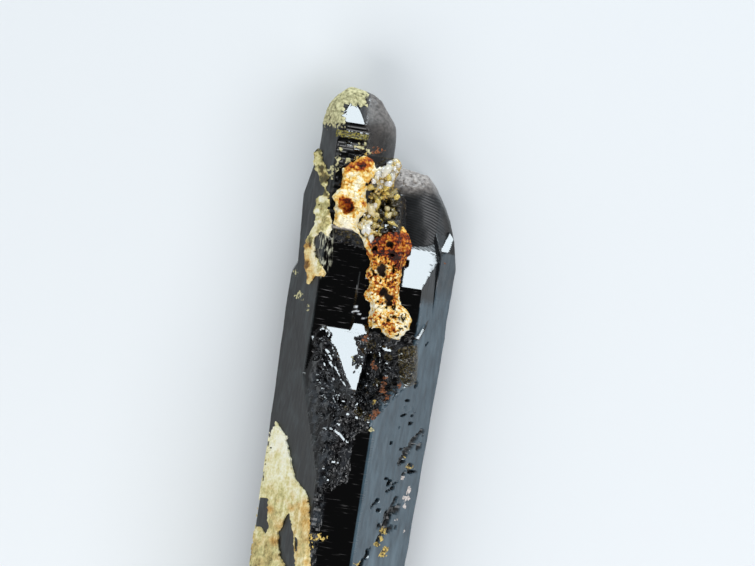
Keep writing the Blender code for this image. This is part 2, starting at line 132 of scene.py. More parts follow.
def makePiece(name, points, quads, tris=None):  # faces turn counter-clockwise seen from outside
    tris = np.zeros((0, 3), np.int32) if tris is None else tris
    place = (points.reshape(-1, 3) + rowShift) * mmToMetres
    corners = np.concatenate([quads.ravel(), tris.ravel()]).astype(np.int32)
    sizes = np.concatenate([np.full(len(quads), 4), np.full(len(tris), 3)])
    starts = np.concatenate([[0], np.cumsum(sizes)[:-1]]).astype(np.int32)
    mesh = bpy.data.meshes.new(name)
    mesh.vertices.add(len(place))
    mesh.vertices.foreach_set("co", place.astype(np.float32).ravel())
    mesh.loops.add(len(corners))
    mesh.loops.foreach_set("vertex_index", corners)
    mesh.polygons.add(len(sizes))
    mesh.polygons.foreach_set("loop_start", starts)
    mesh.update(calc_edges=True)
    mesh.validate()
    piece = bpy.data.objects.new(name, mesh)
    bpy.context.scene.collection.objects.link(piece)
    return piece


def closedTube(name, grid):  # rows x columns x 3: the columns go round, and each end closes on its own middle
    rows, columns = grid.shape[:2]
    index = np.arange(rows * columns).reshape(rows, columns)
    onward = np.roll(index, -1, axis=1)
    quads = np.stack([index[:-1], onward[:-1], onward[1:], index[1:]], -1).reshape(-1, 4)
    low, high = np.full(columns, rows * columns), np.full(columns, rows * columns + 1)
    tris = np.concatenate([np.stack([onward[0], index[0], low], -1),
                           np.stack([index[-1], onward[-1], high], -1)])
    points = np.concatenate([grid.reshape(-1, 3), grid[0].mean(0)[None], grid[-1].mean(0)[None]])
    return makePiece(name, points, quads, tris)


def closedSlab(name, x, y, top, bottom, keep):
    # an upper and a lower grid over the cells where keep is true, joined by a wall round their rim
    for _ in range(4):  # cells that would touch at one corner only get a neighbour
        a, b, c, d = keep[:-1, :-1], keep[:-1, 1:], keep[1:, :-1], keep[1:, 1:]
        b |= a & d & ~c
        a |= b & c & ~d
    rows, columns = x.shape
    index = np.arange(rows * columns).reshape(rows, columns)
    quads = np.stack([index[:-1, :-1], index[:-1, 1:], index[1:, 1:], index[1:, :-1]], -1)[keep]
    starts, ends = quads.ravel(), np.roll(quads, -1, axis=1).ravel()
    count = rows * columns
    rim = ~np.isin(starts * count + ends, ends * count + starts)
    wall = np.stack([ends[rim], starts[rim], starts[rim] + count, ends[rim] + count], -1)
    quads = np.concatenate([quads, quads[:, ::-1] + count, wall])
    heights = np.concatenate([top.ravel(), bottom.ravel()])
    points = np.stack([np.tile(x.ravel(), 2), np.tile(y.ravel(), 2), heights], -1)
    used, quads = np.unique(quads, return_inverse=True)
    return makePiece(name, points[used], quads.reshape(-1, 4))


def workPlaces(piece):  # a piece's points in the working millimetres
    flat = np.zeros(len(piece.data.vertices) * 3, np.float32)
    piece.data.vertices.foreach_get("co", flat)
    return (flat.reshape(-1, 3) / mmToMetres - rowShift).T


def paint(piece, name, *channels):
    # up to four numbers for each point, as a colour attribute that materials read
    count = len(piece.data.vertices)
    whole = np.zeros((count, 4), np.float32)
    for k, channel in enumerate(channels):
        whole[:, k] = channel
    attribute = piece.data.color_attributes.new(name, "FLOAT_COLOR", "POINT")
    attribute.data.foreach_set("color", whole.ravel())


def crispEdges(piece, degrees, soft=None, softDegrees=48):
    # soft shading, broken where two faces meet at more than degrees, or softDegrees where soft is over a half
    mesh = piece.data
    mesh.polygons.foreach_set("use_smooth", np.ones(len(mesh.polygons), bool))
    mesh.set_sharp_from_angle(angle=math.radians(degrees))
    if soft is not None:
        count = len(mesh.edges)
        sharp, blunt, ends = np.zeros(count, bool), np.zeros(count, bool), np.zeros(count * 2, np.int32)
        mesh.edges.foreach_get("use_edge_sharp", sharp)
        mesh.set_sharp_from_angle(angle=math.radians(softDegrees))
        mesh.edges.foreach_get("use_edge_sharp", blunt)
        mesh.edges.foreach_get("vertices", ends)
        softEdge = soft[ends.reshape(-1, 2)].min(1) > 0.5
        mesh.edges.foreach_set("use_edge_sharp", np.where(softEdge, blunt, sharp))


def addNode(tree, kind, inputs=(), stops=None, **settings):  # inputs: pairs of a socket and a value or a link
    node = tree.nodes.new("ShaderNode" + kind)
    for key, value in settings.items():
        setattr(node, key, value)
    for key, value in dict(inputs).items():
        if isinstance(value, bpy.types.NodeSocket):
            tree.links.new(value, node.inputs[key])
        else:
            node.inputs[key].default_value = value
    if stops:
        ramp = node.color_ramp
        while len(ramp.elements) < len(stops):
            ramp.elements.new(0.5)
        for element, (place, color) in zip(ramp.elements, stops):
            element.position = place
            element.color = linear(color) if isinstance(color, str) else (color, color, color, 1)
    return node


def newMaterial(name):
    material = bpy.data.materials.new(name)
    material.use_nodes = True
    return material, material.node_tree, material.node_tree.nodes["Principled BSDF"]


# the morion crystal's planes: azimuth from +Z toward +X, tilt toward the tip, a point
morion = {
    "rhomb": 38.2,        # degrees between a prism face's normal and the pyramid face's above it
    "side": 60.0,         # degrees between two prism faces' normals
    "taper": -1.9,        # how far the two under faces lean, in degrees
    "baseY": -28.0, "tipY": 76.7,
    # heights along c at which the pyramid faces begin
    "lowEdgeY": 27.6, "mirrorTopY": 38.0, "rightEdgeY": 46.2, "leftEdgeY": 54.3, "fingerEdgeY": 71.1,
    "leftX": -13.2, "rightX": 13.05, "girdleZ": 5.6,
    "frontLowZ": 21.6, "frontHighZ": 13.4, "shoulderZ": 8.0,
    "fingerX": -5.9, "fingerZ": 7.9, "fingerHalf": 6.05,
    "rightOutline": [(12, 12.5, 53.4), (20, 12.13, 54.96), (31.5, 10.99, 58.05), (35, 9.21, 61.0),
                     # upright faces round the upper right end: tilt, x, y
                     (48, 7.0, 63.65), (82, 4.0, 64.8)],
}
rhomb, side = morion["rhomb"], morion["side"]
rhombSlope = math.tan(math.radians(rhomb))
leftEdge, rightEdge = (morion["leftX"], morion["girdleZ"]), (morion["rightX"], morion["girdleZ"])
lowEdgeY, rightEdgeY, leftEdgeY = morion["lowEdgeY"], morion["rightEdgeY"], morion["leftEdgeY"]


def plane(azimuth, tilt, point):
    # normal (sin a cos t, sin t, cos a cos t) and its distance from the working point
    a, t = math.radians(azimuth), math.radians(tilt)
    normal = np.array([math.sin(a) * math.cos(t), math.sin(t), math.cos(a) * math.cos(t)])
    return np.append(normal, normal @ np.array(point, float))


def planes(rows):
    return np.array([plane(*row) for row in rows])


def prismFaces(frontZ, left=leftEdge, right=rightEdge, backZ=0.0):
    taper, middle = morion["taper"], 40.0
    return [(0, 0, (0, 0, frontZ)), (180, 0, (0, 0, backZ)),
            (side, 0, (right[0], middle, right[1])), (-side, 0, (left[0], middle, left[1])),
            (2 * side, taper, (right[0], middle, right[1])), (-2 * side, taper, (left[0], middle, left[1]))]


def stripFace():  # the mottled face that widens up the left of the front
    onStep, low, edge = (np.array([-5.3, 36.2, 14.75]), np.array([-0.9, 28.8, 20.6]),
                         np.array([-7.4, 26.3, 15.3]))
    normal = np.cross(low - onStep, edge - onStep)
    normal /= np.linalg.norm(normal) * np.sign(normal[2])
    return math.degrees(math.atan2(normal[0], normal[2])), math.degrees(math.asin(normal[1])), tuple(onStep)


def rightOutline(inset):
    return [(90, tilt, (x - inset, y - inset, 0)) for tilt, x, y in morion["rightOutline"]]


def leftNotch(inset):  # the upright face that ends the prism's left edge
    return [(-90, 22, (-13.1 + inset, 46.1 - inset, 0))]


highZ, lowZ = morion["frontHighZ"], morion["frontLowZ"]
lowFaces = prismFaces(lowZ) + [stripFace()]
highFaces = prismFaces(highZ, (leftEdge[0] + 0.02, leftEdge[1]), (rightEdge[0] - 0.02, rightEdge[1]), 0.15)
highFaces += [(0, -90, (0, 10, 0))]
prismCrystals = [planes(rows) for rows in (
    lowFaces + leftNotch(0) + [(0, rhomb, (0, lowEdgeY, lowZ)), (82, 0, (0.75, 33, highZ + 3))],
    lowFaces + [(8, 50, (3.9, 24.6, lowZ)), (side, rhomb, (9.3, 31.0, highZ))],
    highFaces + leftNotch(0.1) + [
        (0, rhomb, (0, leftEdgeY, highZ)), (180, rhomb, (0, 58, 0)), (-side, rhomb, (-9, 58.5, 10)),
        (75, 12, (4.6, 47, highZ))],
    highFaces + leftNotch(0.2) + rightOutline(0.25) + [
        (0, rhomb, (0, rightEdgeY, highZ)), (180, rhomb, (0, 57, 0)), (side, 3, (8.07, rightEdgeY, highZ)),
        (57, 34.7, (9.86, 50.8, 9.8))])]
ribPlanes = planes(prismFaces(11.2, (7.0, 4.0), (12.85, 5.6), 0.3) + rightOutline(0.12) + [
    (0, -90, (0, 36, 0)), (30, rhomb, (10.4, 52.4, 9.2)), (side, 25, (11.35, 55.0, 7.6))])
shoulderPlanes = planes(prismFaces(morion["shoulderZ"], (-3.5, 4.6), (12.85, 5.2), 0.25) + rightOutline(0) + [
    (0, -90, (0, 40, 0)), (25, 5, (6.5, 57, 8.0)), (40, 14, (9.0, 58, 7.0)), (78, 16, (12.3, 54.5, 4.8)),
    (78, 31, (11.0, 58.1, 4.8)), (74, 46, (8.6, 61.9, 4.8)), (30, 62, (5.4, 64.7, 5.0)),
    (-20, 78, (1.5, 65.6, 4.5)), (0, 40, (4, 62.6, 7.6)), (180, 52, (4, 64, 1.6)),
    (-95, 8, (-1.6, 60, 4.0))])
slabPlanes = planes(prismFaces(12.0, (morion["leftX"] - 0.2, morion["girdleZ"] - 0.1), (-6.0, 5.0), 0.5) + [
    (0, -90, (0, 46.6, 0)), (-90, -4.2, (-12.75, 52.5, 0)), (-90, 11, (-12.5, 62, 0)),
    (-140, -40, (-12.7, 47.6, 4.0)), (60, 48, (-10.4, 63.6, 9.6)), (0, 48, (-11.4, 63.4, 9.8)),
    (180, 35, (-11, 60, 1.2))])


def fingerPlanes():
    x, z, tip, edgeY = morion["fingerX"], morion["fingerZ"], morion["tipY"], morion["fingerEdgeY"]
    apothem = morion["fingerHalf"] * math.cos(math.radians(30))
    sides = [(k * side, 0, (x + apothem * math.sin(math.radians(k * side)), 0,
                            z + apothem * math.cos(math.radians(k * side)))) for k in range(6)]
    right, left = (-4.1, tip - 0.6, z), (-9.35, tip - 1.0, z)
    pyramid = [(0, rhomb, (0, edgeY, z + apothem)), (180, rhomb, (0, edgeY + 0.5, z - apothem)),
               (side, rhomb, right), (2 * side, rhomb, right), (-side, rhomb, left), (-2 * side, rhomb, left)]
    ends = [(60, 77, (-4.7, tip - 0.85, z)), (84, 17, (-0.12, 70.7, z)), (-86, 11, (-11.6, 70.9, z)),
            (0, -90, (0, 50, 0))]
    cuts = [(22, 42.9, (-7.2, 74.2, 10.7)), (-22, 41.8, (-7.2, 74.2, 10.7)), (35, 0, (-4.5, 0, z + apothem))]
    return planes(sides + pyramid + ends + cuts)  # the cuts leave a triangle of the pyramid face


fingerFaces = fingerPlanes()
everyCrystal = prismCrystals + [ribPlanes, shoulderPlanes, slabPlanes, fingerFaces]


def topHeight(x, y, crystals=None, floor=-50.0):
    # the highest point over x, y: over each crystal the lowest upward plane
    best = np.full(np.shape(x), floor)
    for crystal in (everyCrystal if crystals is None else crystals):
        roof, ground = np.full(np.shape(x), 1e3), np.full(np.shape(x), -1e3)
        inside = np.ones(np.shape(x), bool)
        for nx, ny, nz, reach in crystal:
            room = reach - nx * x - ny * y
            if nz > 1e-6:
                roof = np.minimum(roof, room / nz)
            elif nz < -1e-6:
                ground = np.maximum(ground, room / nz)
            else:
                inside &= room >= 0
        best = np.where(inside & (roof > ground), np.maximum(best, roof), best)
    return best


mirrorZone = [(-5.03, 38.15), (-4.17, 37.97), (-2.54, 38.1), (-2.2, 39.05), (0.64, 39.14), (0.73, 37.91),
              (-0.73, 37.26), (-1.39, 36.85), (-0.64, 35.4), (-0.48, 34.38), (-1.25, 33.7), (-1.1, 32.5),
              (0.11, 33.23), (0.71, 32.07), (0.93, 30.02), (0.42, 28.59), (-0.61, 28.53), (-1.71, 30.24),
              (-2.9, 32.55), (-4.04, 34.45), (-5.24, 36.14)]


# small parallel crystals on the etched part of the front
etched = {
    "seed": 21,
    "proud": (0.05, 0.24), "depth": 1.6,    # how far a small crystal stands out, and how deep it is rooted
    "ledgeProud": 0.35, "ledgeDepth": 4.0,  # the same for the first, larger ones
    "fleckRaised": 0.2,
    "zones": [  # outline, number of crystals, half-width range, share with true pyramid faces
        ([(-6.1, 34.4), (-5.3, 35.5), (-3.3, 32.2), (-1.75, 29.3), (-2.4, 28.9), (-4.3, 31.6)], 54,
         (0.12, 0.3), 0.97),
        ([(0.9, 36.4), (3.4, 36.9), (5.9, 35.6), (6.2, 32.0), (7.2, 30.6), (5.0, 27.6), (1.4, 27.8)], 60,
         (0.2, 0.55), 0.2),
        ([(-4.6, 27.6), (-0.5, 28.0), (4.6, 27.9), (4.4, 24.8), (2.8, 22.4), (-0.4, 21.4), (-4.2, 22.6)],
         50, (0.16, 0.45), 0.2),
        ([(-3.6, 22.2), (0.8, 21.6), (0.2, 16.2), (-1.0, 13.2), (-2.9, 13.4)], 22, (0.14, 0.32), 0.15)],
    "flecks": [  # outline, number of tiny mirror facets, seed
        ([(-7.9, 36.2), (-6.6, 36.4), (-5.0, 33.0), (-2.6, 28.2), (-2.2, 24.8), (-4.6, 22.4), (-6.0, 26.0),
          (-6.9, 31.0)], 64, 5),
        ([(1.2, 36.2), (3.8, 34.8), (5.8, 33.6), (6.8, 31.0), (5.0, 27.6), (3.0, 25.6), (1.4, 28.6)], 44, 6)],
}
firstLedges = [  # as in the solid: x, y, half-width, reach, tilt
    (2.0, 22.6, 1.0, 2.4, 62), (3.3, 23.6, 0.7, 1.6, 55), (3.6, 26.2, 1.2, 1.3, 60),
    (1.7, 27.1, 0.8, 1.2, 57), (5.5, 27.6, 0.9, 1.1, 60), (2.6, 28.6, 0.9, 1.0, 58),
    (4.6, 29.3, 0.8, 0.9, 55), (6.6, 29.2, 0.8, 1.2, 50), (2.0, 30.4, 0.8, 3.4, rhomb),
    (4.2, 30.9, 1.2, 2.6, rhomb), (6.6, 30.9, 1.1, 3.6, rhomb), (-3.4, 24.6, 0.7, 1.8, 45),
    (-5.0, 26.8, 0.7, 2.0, 45), (-4.1, 29.6, 0.6, 1.6, rhomb), (-6.0, 30.4, 0.8, 2.2, rhomb),
    (-5.6, 33.9, 0.7, 1.9, rhomb), (-7.0, 34.6, 0.7, 2.6, rhomb)]
brightFacets = [  # outlines of single pyramid facets that mirror the light, each convex
    [(8.09, 38.12), (8.9, 39.4), (9.87, 41.42), (9.65, 40.14), (8.92, 38.15)],
    [(2.69, 36.44), (3.87, 36.48), (4.78, 36.25), (4.77, 35.41), (3.45, 35.58)],
    [(-6.0, 34.35), (-5.55, 34.84), (-4.89, 33.9), (-5.24, 33.53)],
    [(-5.35, 33.52), (-4.85, 33.7), (-4.22, 32.97), (-4.59, 32.7)],
    [(-5.07, 32.42), (-4.68, 32.58), (-3.53, 31.2), (-3.8, 30.95)],
    [(-4.03, 31.75), (-3.75, 32.0), (-2.55, 30.31), (-2.73, 30.08)],
    [(-2.81, 29.96), (-2.53, 30.15), (-1.52, 29.02), (-1.7, 28.82)],
    [(-5.9, 36.5), (-5.5, 37.2), (-5.2, 36.9), (-5.6, 36.2)],
    [(-7.06, 32.52), (-6.8, 32.67), (-6.46, 31.57), (-6.74, 31.49)],
    [(-6.96, 37.85), (-6.5, 37.98), (-6.41, 37.41), (-6.81, 37.31)],
    [(-8.35, 36.07), (-8.02, 36.22), (-7.69, 35.44), (-8.02, 35.29)],
    [(-4.96, 35.04), (-4.59, 34.78), (-4.13, 34.02), (-4.43, 34.06)],
    [(5.8, 35.47), (6.64, 35.67), (6.76, 35.31), (5.95, 35.18)],
    [(1.13, 34.74), (1.74, 34.84), (1.89, 34.51), (1.29, 34.37)],
    [(3.92, 33.51), (4.62, 33.73), (4.7, 33.22), (4.2, 33.04)],
    [(3.39, 32.49), (3.87, 32.52), (4.11, 31.94), (3.66, 31.83)],
    [(5.58, 30.92), (6.51, 30.94), (6.5, 29.96), (5.7, 30.15)],
    [(2.07, 32.7), (2.73, 32.76), (2.74, 32.14), (2.26, 32.15)],
    [(-4.1, 21.6), (-3.9, 22.1), (-3.5, 21.8), (-3.7, 21.3)],
    [(-3.4, 21.8), (-3.1, 22.2), (-2.5, 21.9), (-2.7, 21.5)],
    [(-2.6, 21.6), (-2.2, 22.0), (-1.3, 21.4), (-1.5, 20.9)],
    [(-1.6, 21.1), (-1.2, 21.4), (-0.3, 20.5), (-0.6, 20.1)],
    [(-0.7, 20.4), (-0.4, 20.6), (0.4, 20.1), (0.1, 19.8)],
    [(-2.2, 22.6), (-2.1, 23.0), (-1.5, 22.9), (-1.6, 22.5)],
    [(-2.2, 16.5), (-1.9, 17.0), (-1.3, 16.7), (-1.5, 16.3)],
    [(-1.2, 16.6), (-1.0, 16.9), (-0.6, 16.5), (-0.8, 16.2)],
    [(-1.3, 14.4), (-1.2, 14.7), (-0.5, 14.5), (-0.6, 14.3)],
    [(-2.4, 13.6), (-2.1, 14.1), (-1.9, 13.7), (-2.1, 13.3)],
    [(1.0, 33.0), (1.0, 33.5), (1.6, 33.4), (1.5, 32.9)],
    [(1.3, 31.6), (1.2, 32.4), (1.7, 32.2), (1.8, 31.5)],
    [(2.7, 33.6), (2.6, 34.1), (3.3, 33.9), (3.2, 33.4)],
    [(3.5, 31.0), (3.3, 31.7), (3.9, 31.8), (4.0, 31.1)],
    [(4.0, 29.8), (3.9, 30.4), (4.4, 30.3), (4.5, 29.7)],
    [(5.9, 31.4), (6.0, 31.8), (6.6, 31.6), (6.5, 31.2)],
    [(-5.0, 23.6), (-5.0, 24.1), (-4.5, 24.0), (-4.5, 23.5)],
    [(-3.9, 25.6), (-3.8, 26.0), (-3.3, 25.9), (-3.5, 25.5)],
    [(0.2, 26.2), (0.1, 26.7), (0.8, 26.7), (0.7, 26.2)],
    [(2.1, 26.4), (2.0, 27.0), (2.7, 26.9), (2.6, 26.3)],
    [(-1.9, 26.3), (-1.9, 26.8), (-1.3, 26.7), (-1.4, 26.3)],
    [(2.6, 23.6), (2.5, 24.1), (3.1, 24.2), (3.1, 23.6)],
    [(0.6, 24.1), (0.5, 24.6), (1.2, 24.5), (1.1, 24.0)],
    [(-0.9, 24.4), (-0.9, 24.9), (-0.3, 24.8), (-0.4, 24.3)],
    [(-3.0, 27.2), (-3.0, 27.6), (-2.4, 27.5), (-2.5, 27.1)],
    [(3.3, 28.4), (3.2, 28.8), (3.8, 28.8), (3.8, 28.3)],
    [(-7.6, 36.4), (-7.5, 36.9), (-7.2, 36.8), (-7.3, 36.3)],
    [(-6.8, 32.4), (-6.7, 33.1), (-6.3, 32.9), (-6.4, 32.3)],
    [(-6.3, 37.1), (-6.2, 37.6), (-5.7, 37.5), (-5.8, 37.0)],
    [(-5.5, 22.3), (-5.4, 22.7), (-5.1, 22.6), (-5.2, 22.2)],
    [(-4.2, 18.2), (-4.1, 18.7), (-3.7, 18.6), (-3.9, 18.1)],
    [(-3.4, 15.2), (-3.3, 15.7), (-2.9, 15.5), (-3.1, 15.1)]]
ribFacet = [(11.16, 56.13), (11.93, 54.9), (11.5, 52.71), (10.34, 52.73), (10.16, 53.27)]
# a flat step beside the facet
terrace = [(4.2, 47.85), (5.7, 52.4), (5.6, 53.2), (3.0, 53.2), (3.0, 47.0), (4.1, 47.0)]
terraceZ = 12.1


def ledge(x, y, half, reach, tilt, proud, depth, lean=0.0):
    front = float(topHeight(x, y, prismCrystals)) + proud
    tip = (x, y + reach, front)
    return planes([(lean, 0, tip), (side, 0, (x + half, y, front)), (-side, 0, (x - half, y, front)),
                   (180, 0, (x, y, front - depth)), (lean, tilt, tip),
                   (side, 0, (rightEdge[0] - 0.06, y, rightEdge[1])),
                   (-side, 0, (leftEdge[0] + 0.06, y, leftEdge[1])),
                   (side, rhomb, (x + 0.35 * half, y + reach, front)),
                   (-side, rhomb, (x - 0.35 * half, y + reach, front)), (180, -rhomb, (x, y, front - proud))])


def flecks(zone, count, seed):
    # small slanting quads: a place, plus or minus a half-length along the slant and a half-width across it
    chance = np.random.default_rng(seed)
    corners = np.array(zone)
    places = chance.uniform(corners.min(0), corners.max(0), (count * 6, 2))
    places = places[outlineDepth(places[:, 0], places[:, 1], zone) > 0][:count]
    slant = np.radians(chance.normal(-57, 18, len(places)))
    along = np.stack([np.cos(slant), np.sin(slant)], -1) * chance.uniform(0.12, 0.5, (len(places), 1))
    across = np.stack([-np.sin(slant), np.cos(slant)], -1) * chance.uniform(0.07, 0.18, (len(places), 1))
    quads = np.stack([places - along - across, places + along - across,
                      places + along + across, places - along + across], 1)
    return [[tuple(corner) for corner in quad] for quad in quads.tolist()]


mirrorFlecks = [fleck for row in etched["flecks"] for fleck in flecks(*row)]


def walled(outline, top, bottomZ):  # upright walls round a convex outline, under one plane
    middle = np.array(outline).mean(0)
    walls = []
    for (ax, ay), (bx, by) in zip(outline, outline[1:] + outline[:1]):
        normal = np.array([by - ay, ax - bx]) / math.hypot(bx - ax, by - ay)
        normal *= np.sign(normal @ (np.array([ax, ay]) - middle))
        walls.append([normal[0], normal[1], 0, normal @ np.array([ax, ay])])
    solid = np.vstack([walls, [top], [plane(180, 0, (0, 0, bottomZ))]])
    return solid, min(y for _, y in outline) - 0.2, max(y for _, y in outline) + 0.2


def facet(outline, crystals, floor=-50.0, raised=0.12):  # a pyramid face just above what carries it
    corners = np.array(outline)
    ground = topHeight(corners[:, 0], corners[:, 1], crystals, floor)
    level = np.max(ground + rhombSlope * corners[:, 1]) + raised
    return walled(outline, plane(0, rhomb, (0, 0, level)), ground.min() - 1.5)


def smallCrystals():
    made = [(ledge(*row, etched["ledgeProud"], etched["ledgeDepth"]), row[1] - 1.2, row[1] + row[3] + 4)
            for row in firstLedges]
    made += [facet(outline, prismCrystals) for outline in brightFacets]
    made += [facet(outline, prismCrystals, raised=etched["fleckRaised"]) for outline in mirrorFlecks]
    made.append(walled(terrace, plane(0, 0, (0, 0, terraceZ)), 6.0))
    chance = np.random.default_rng(etched["seed"])
    for outline, count, halves, trueShare in etched["zones"]:
        corners = np.array(outline)
        low, high = corners.min(0), corners.max(0)
        done = 0
        while done < count:
            x, y = chance.uniform(low, high)
            if outlineDepth(x, y, outline) < 0:
                continue
            done += 1
            half = chance.uniform(*halves)
            reach = half * chance.uniform(0.9, 2.6)
            if outlineDepth(x, y + reach, mirrorZone) > -half - 0.15:  # none on the mirror
                continue
            trueFace = chance.random() < trueShare
            tilt = rhomb + chance.normal(0, 1.2) if trueFace else chance.uniform(25, 65)
            lean = chance.normal(0, 1.5) if trueFace else chance.uniform(-28, 28)
            crystal = ledge(x, y, half, reach, tilt, chance.uniform(*etched["proud"]), etched["depth"], lean)
            made.append((crystal, y - 1.2, y + reach + 2.2))
    return made


# shells: from an axis inside a crystal, how far each ray goes before it leaves the last solid
def rayHits(solids, ox, oz, y, dx, dz, small=()):
    # a ray leaves a convex solid at the nearest plane it faces; the shell is the furthest of these exits
    best, normal = np.full(y.shape, 0.01), np.zeros(y.shape + (3,))
    rowLow, rowHigh = y.min(1), y.max(1)
    for solid, low, high in [(s, -1e9, 1e9) for s in solids] + list(small):
        rows = np.flatnonzero((rowHigh >= low) & (rowLow <= high))
        if not len(rows):
            continue
        part = slice(rows[0], rows[-1] + 1)
        near, far = np.full(y[part].shape, -1e9), np.full(y[part].shape, 1e9)
        face = np.zeros(y[part].shape, int)
        for k, (nx, ny, nz, reach) in enumerate(solid):
            speed = nx * dx[part] + nz * dz[part]
            room = reach - (nx * ox[part] + ny * y[part] + nz * oz[part])
            distance = room / np.where(np.abs(speed) < 1e-9, 1e-9, speed)
            leaves = (speed > 1e-9) & (distance < far)
            far, face = np.where(leaves, distance, far), np.where(leaves, k, face)
            near = np.where(speed < -1e-9, np.maximum(near, distance), near)
            far = np.where((np.abs(speed) <= 1e-9) & (room < 0), -1e9, far)
        better = (far > near) & (far > best[part])
        best[part] = np.where(better, far, best[part])
        normal[part] = np.where(better[..., None], solid[face][..., :3], normal[part])
    return best, normal


def meltedHits(solid, crisp, melt, ox, oz, y, dx, dz):
    # one crystal whose faces melt into each other: minus the log of the summed exponentials of the exits,
    # over melt; the crisp faces keep their edges
    total, hard, nearest = np.full(y.shape, 1e-30), np.full(y.shape, 1e9), np.full(y.shape, 1e9)
    face = np.zeros(y.shape, int)
    for k, (nx, ny, nz, reach) in enumerate(solid):
        speed = nx * dx + nz * dz
        distance = (reach - (nx * ox + ny * y + nz * oz)) / np.where(np.abs(speed) < 1e-9, 1e-9, speed)
        distance = np.where(speed > 1e-9, np.maximum(distance, -20 * melt), 1e9)
        if k in crisp:
            hard = np.minimum(hard, distance)
        else:
            total = total + np.exp(-np.minimum(distance, 60 * melt) / melt)
        face = np.where(distance < nearest, k, face)
        nearest = np.minimum(nearest, distance)
    return np.maximum(np.minimum(hard, -melt * np.log(total)), 0.01), solid[face][..., :3]


def columnsAlong(corners, counts):
    # evenly spaced points along each side of a many-cornered outline, row by row
    around = []
    for k, count in enumerate(counts):
        t = np.arange(count) / count
        start, end = corners[:, k], corners[:, (k + 1) % len(counts)]
        around.append(start[:, None] * (1 - t)[None, :, None] + end[:, None] * t[None, :, None])
    return np.concatenate(around, axis=1)


def radialShell(name, solids, y, axis, towards, relief=None, small=(), base=None, top=None, capRings=10,
                melt=0.0, crisp=()):
    # y: rows x columns; axis: rows x 2; towards: rows x columns x 2, the points that the rays pass through
    ox, oz = np.broadcast_to(axis[:, :1], y.shape), np.broadcast_to(axis[:, 1:], y.shape)
    dx, dz = towards[..., 0] - ox, towards[..., 1] - oz
    length = np.hypot(dx, dz)
    dx, dz = dx / length, dz / length
    if melt:
        far, normal = meltedHits(solids[0], crisp, melt, ox, oz, y, dx, dz)
    else:
        far, normal = rayHits(solids, ox, oz, y, dx, dz, small)
    grid = np.stack([ox + far * dx, y, oz + far * dz], -1)
    if relief:
        offset = relief(grid[..., 0], grid[..., 1], grid[..., 2], normal)
        slope = np.maximum(normal[..., 0] * dx + normal[..., 2] * dz, 0.45)
        far = far + offset / slope
        grid = np.stack([ox + far * dx, y, oz + far * dz], -1)
    shares = np.linspace(0, 1, capRings + 1)[1:-1]
    for end, rule in ((0, base), (-1, top)):
        if rule is None:
            continue
        middle = np.array([axis[end, 0], axis[end, 1]])
        rings = []
        for share in shares:
            x = middle[0] + (grid[end, :, 0] - middle[0]) * share
            z = middle[1] + (grid[end, :, 2] - middle[1]) * share
            rings.append(np.stack([x, rule(x, z), z], -1))
        grid = np.concatenate([rings, grid]) if end == 0 else np.concatenate([grid, rings[::-1]])
    return closedTube(name, grid)


brokenBase = {
    "planes": planes([(0, -81, (0, morion["baseY"], 6)), (140, -76, (4, -27.4, 10)),
                      (-75, -74, (-4, -27.1, 12))]),
    "bites": [((5.5, -33.5, 15.5), 8.0), ((-7.0, -36.5, 7.5), 10.5), ((9.5, -33.4, 4.0), 6.6)],
}


def baseHeight(x, z):
    # the broken end: the innermost of three uneven planes, with shell-shaped bites and fine ripples
    y = np.full(np.shape(x), -1e3)
    for nx, ny, nz, reach in brokenBase["planes"]:
        y = np.maximum(y, (reach - nx * x - nz * z) / ny)
    y = y + 0.5 * cloud(x, z, 3.0, 60) - 0.2
    for (cx, cy, cz), radius in brokenBase["bites"]:
        apart = np.hypot(x - cx, z - cz)
        shell = cy + np.sqrt(np.maximum(radius ** 2 - apart ** 2, 0)) + 0.06 * np.sin(apart * 5.0)
        y = np.where(apart < radius, np.maximum(y, shell), y)
    return y


def upperEnd(solid, melt=0.02):
    # where the planes that face along the c axis close a crystal, melted together
    forward = solid[solid[:, 1] > 0.05]

    def height(x, z):
        exits = np.array([(reach - nx * x - nz * z) / ny for nx, ny, nz, reach in forward])
        least = exits.min(0)
        return least - melt * np.log(np.exp(-(exits - least) / melt).sum(0))
    return height


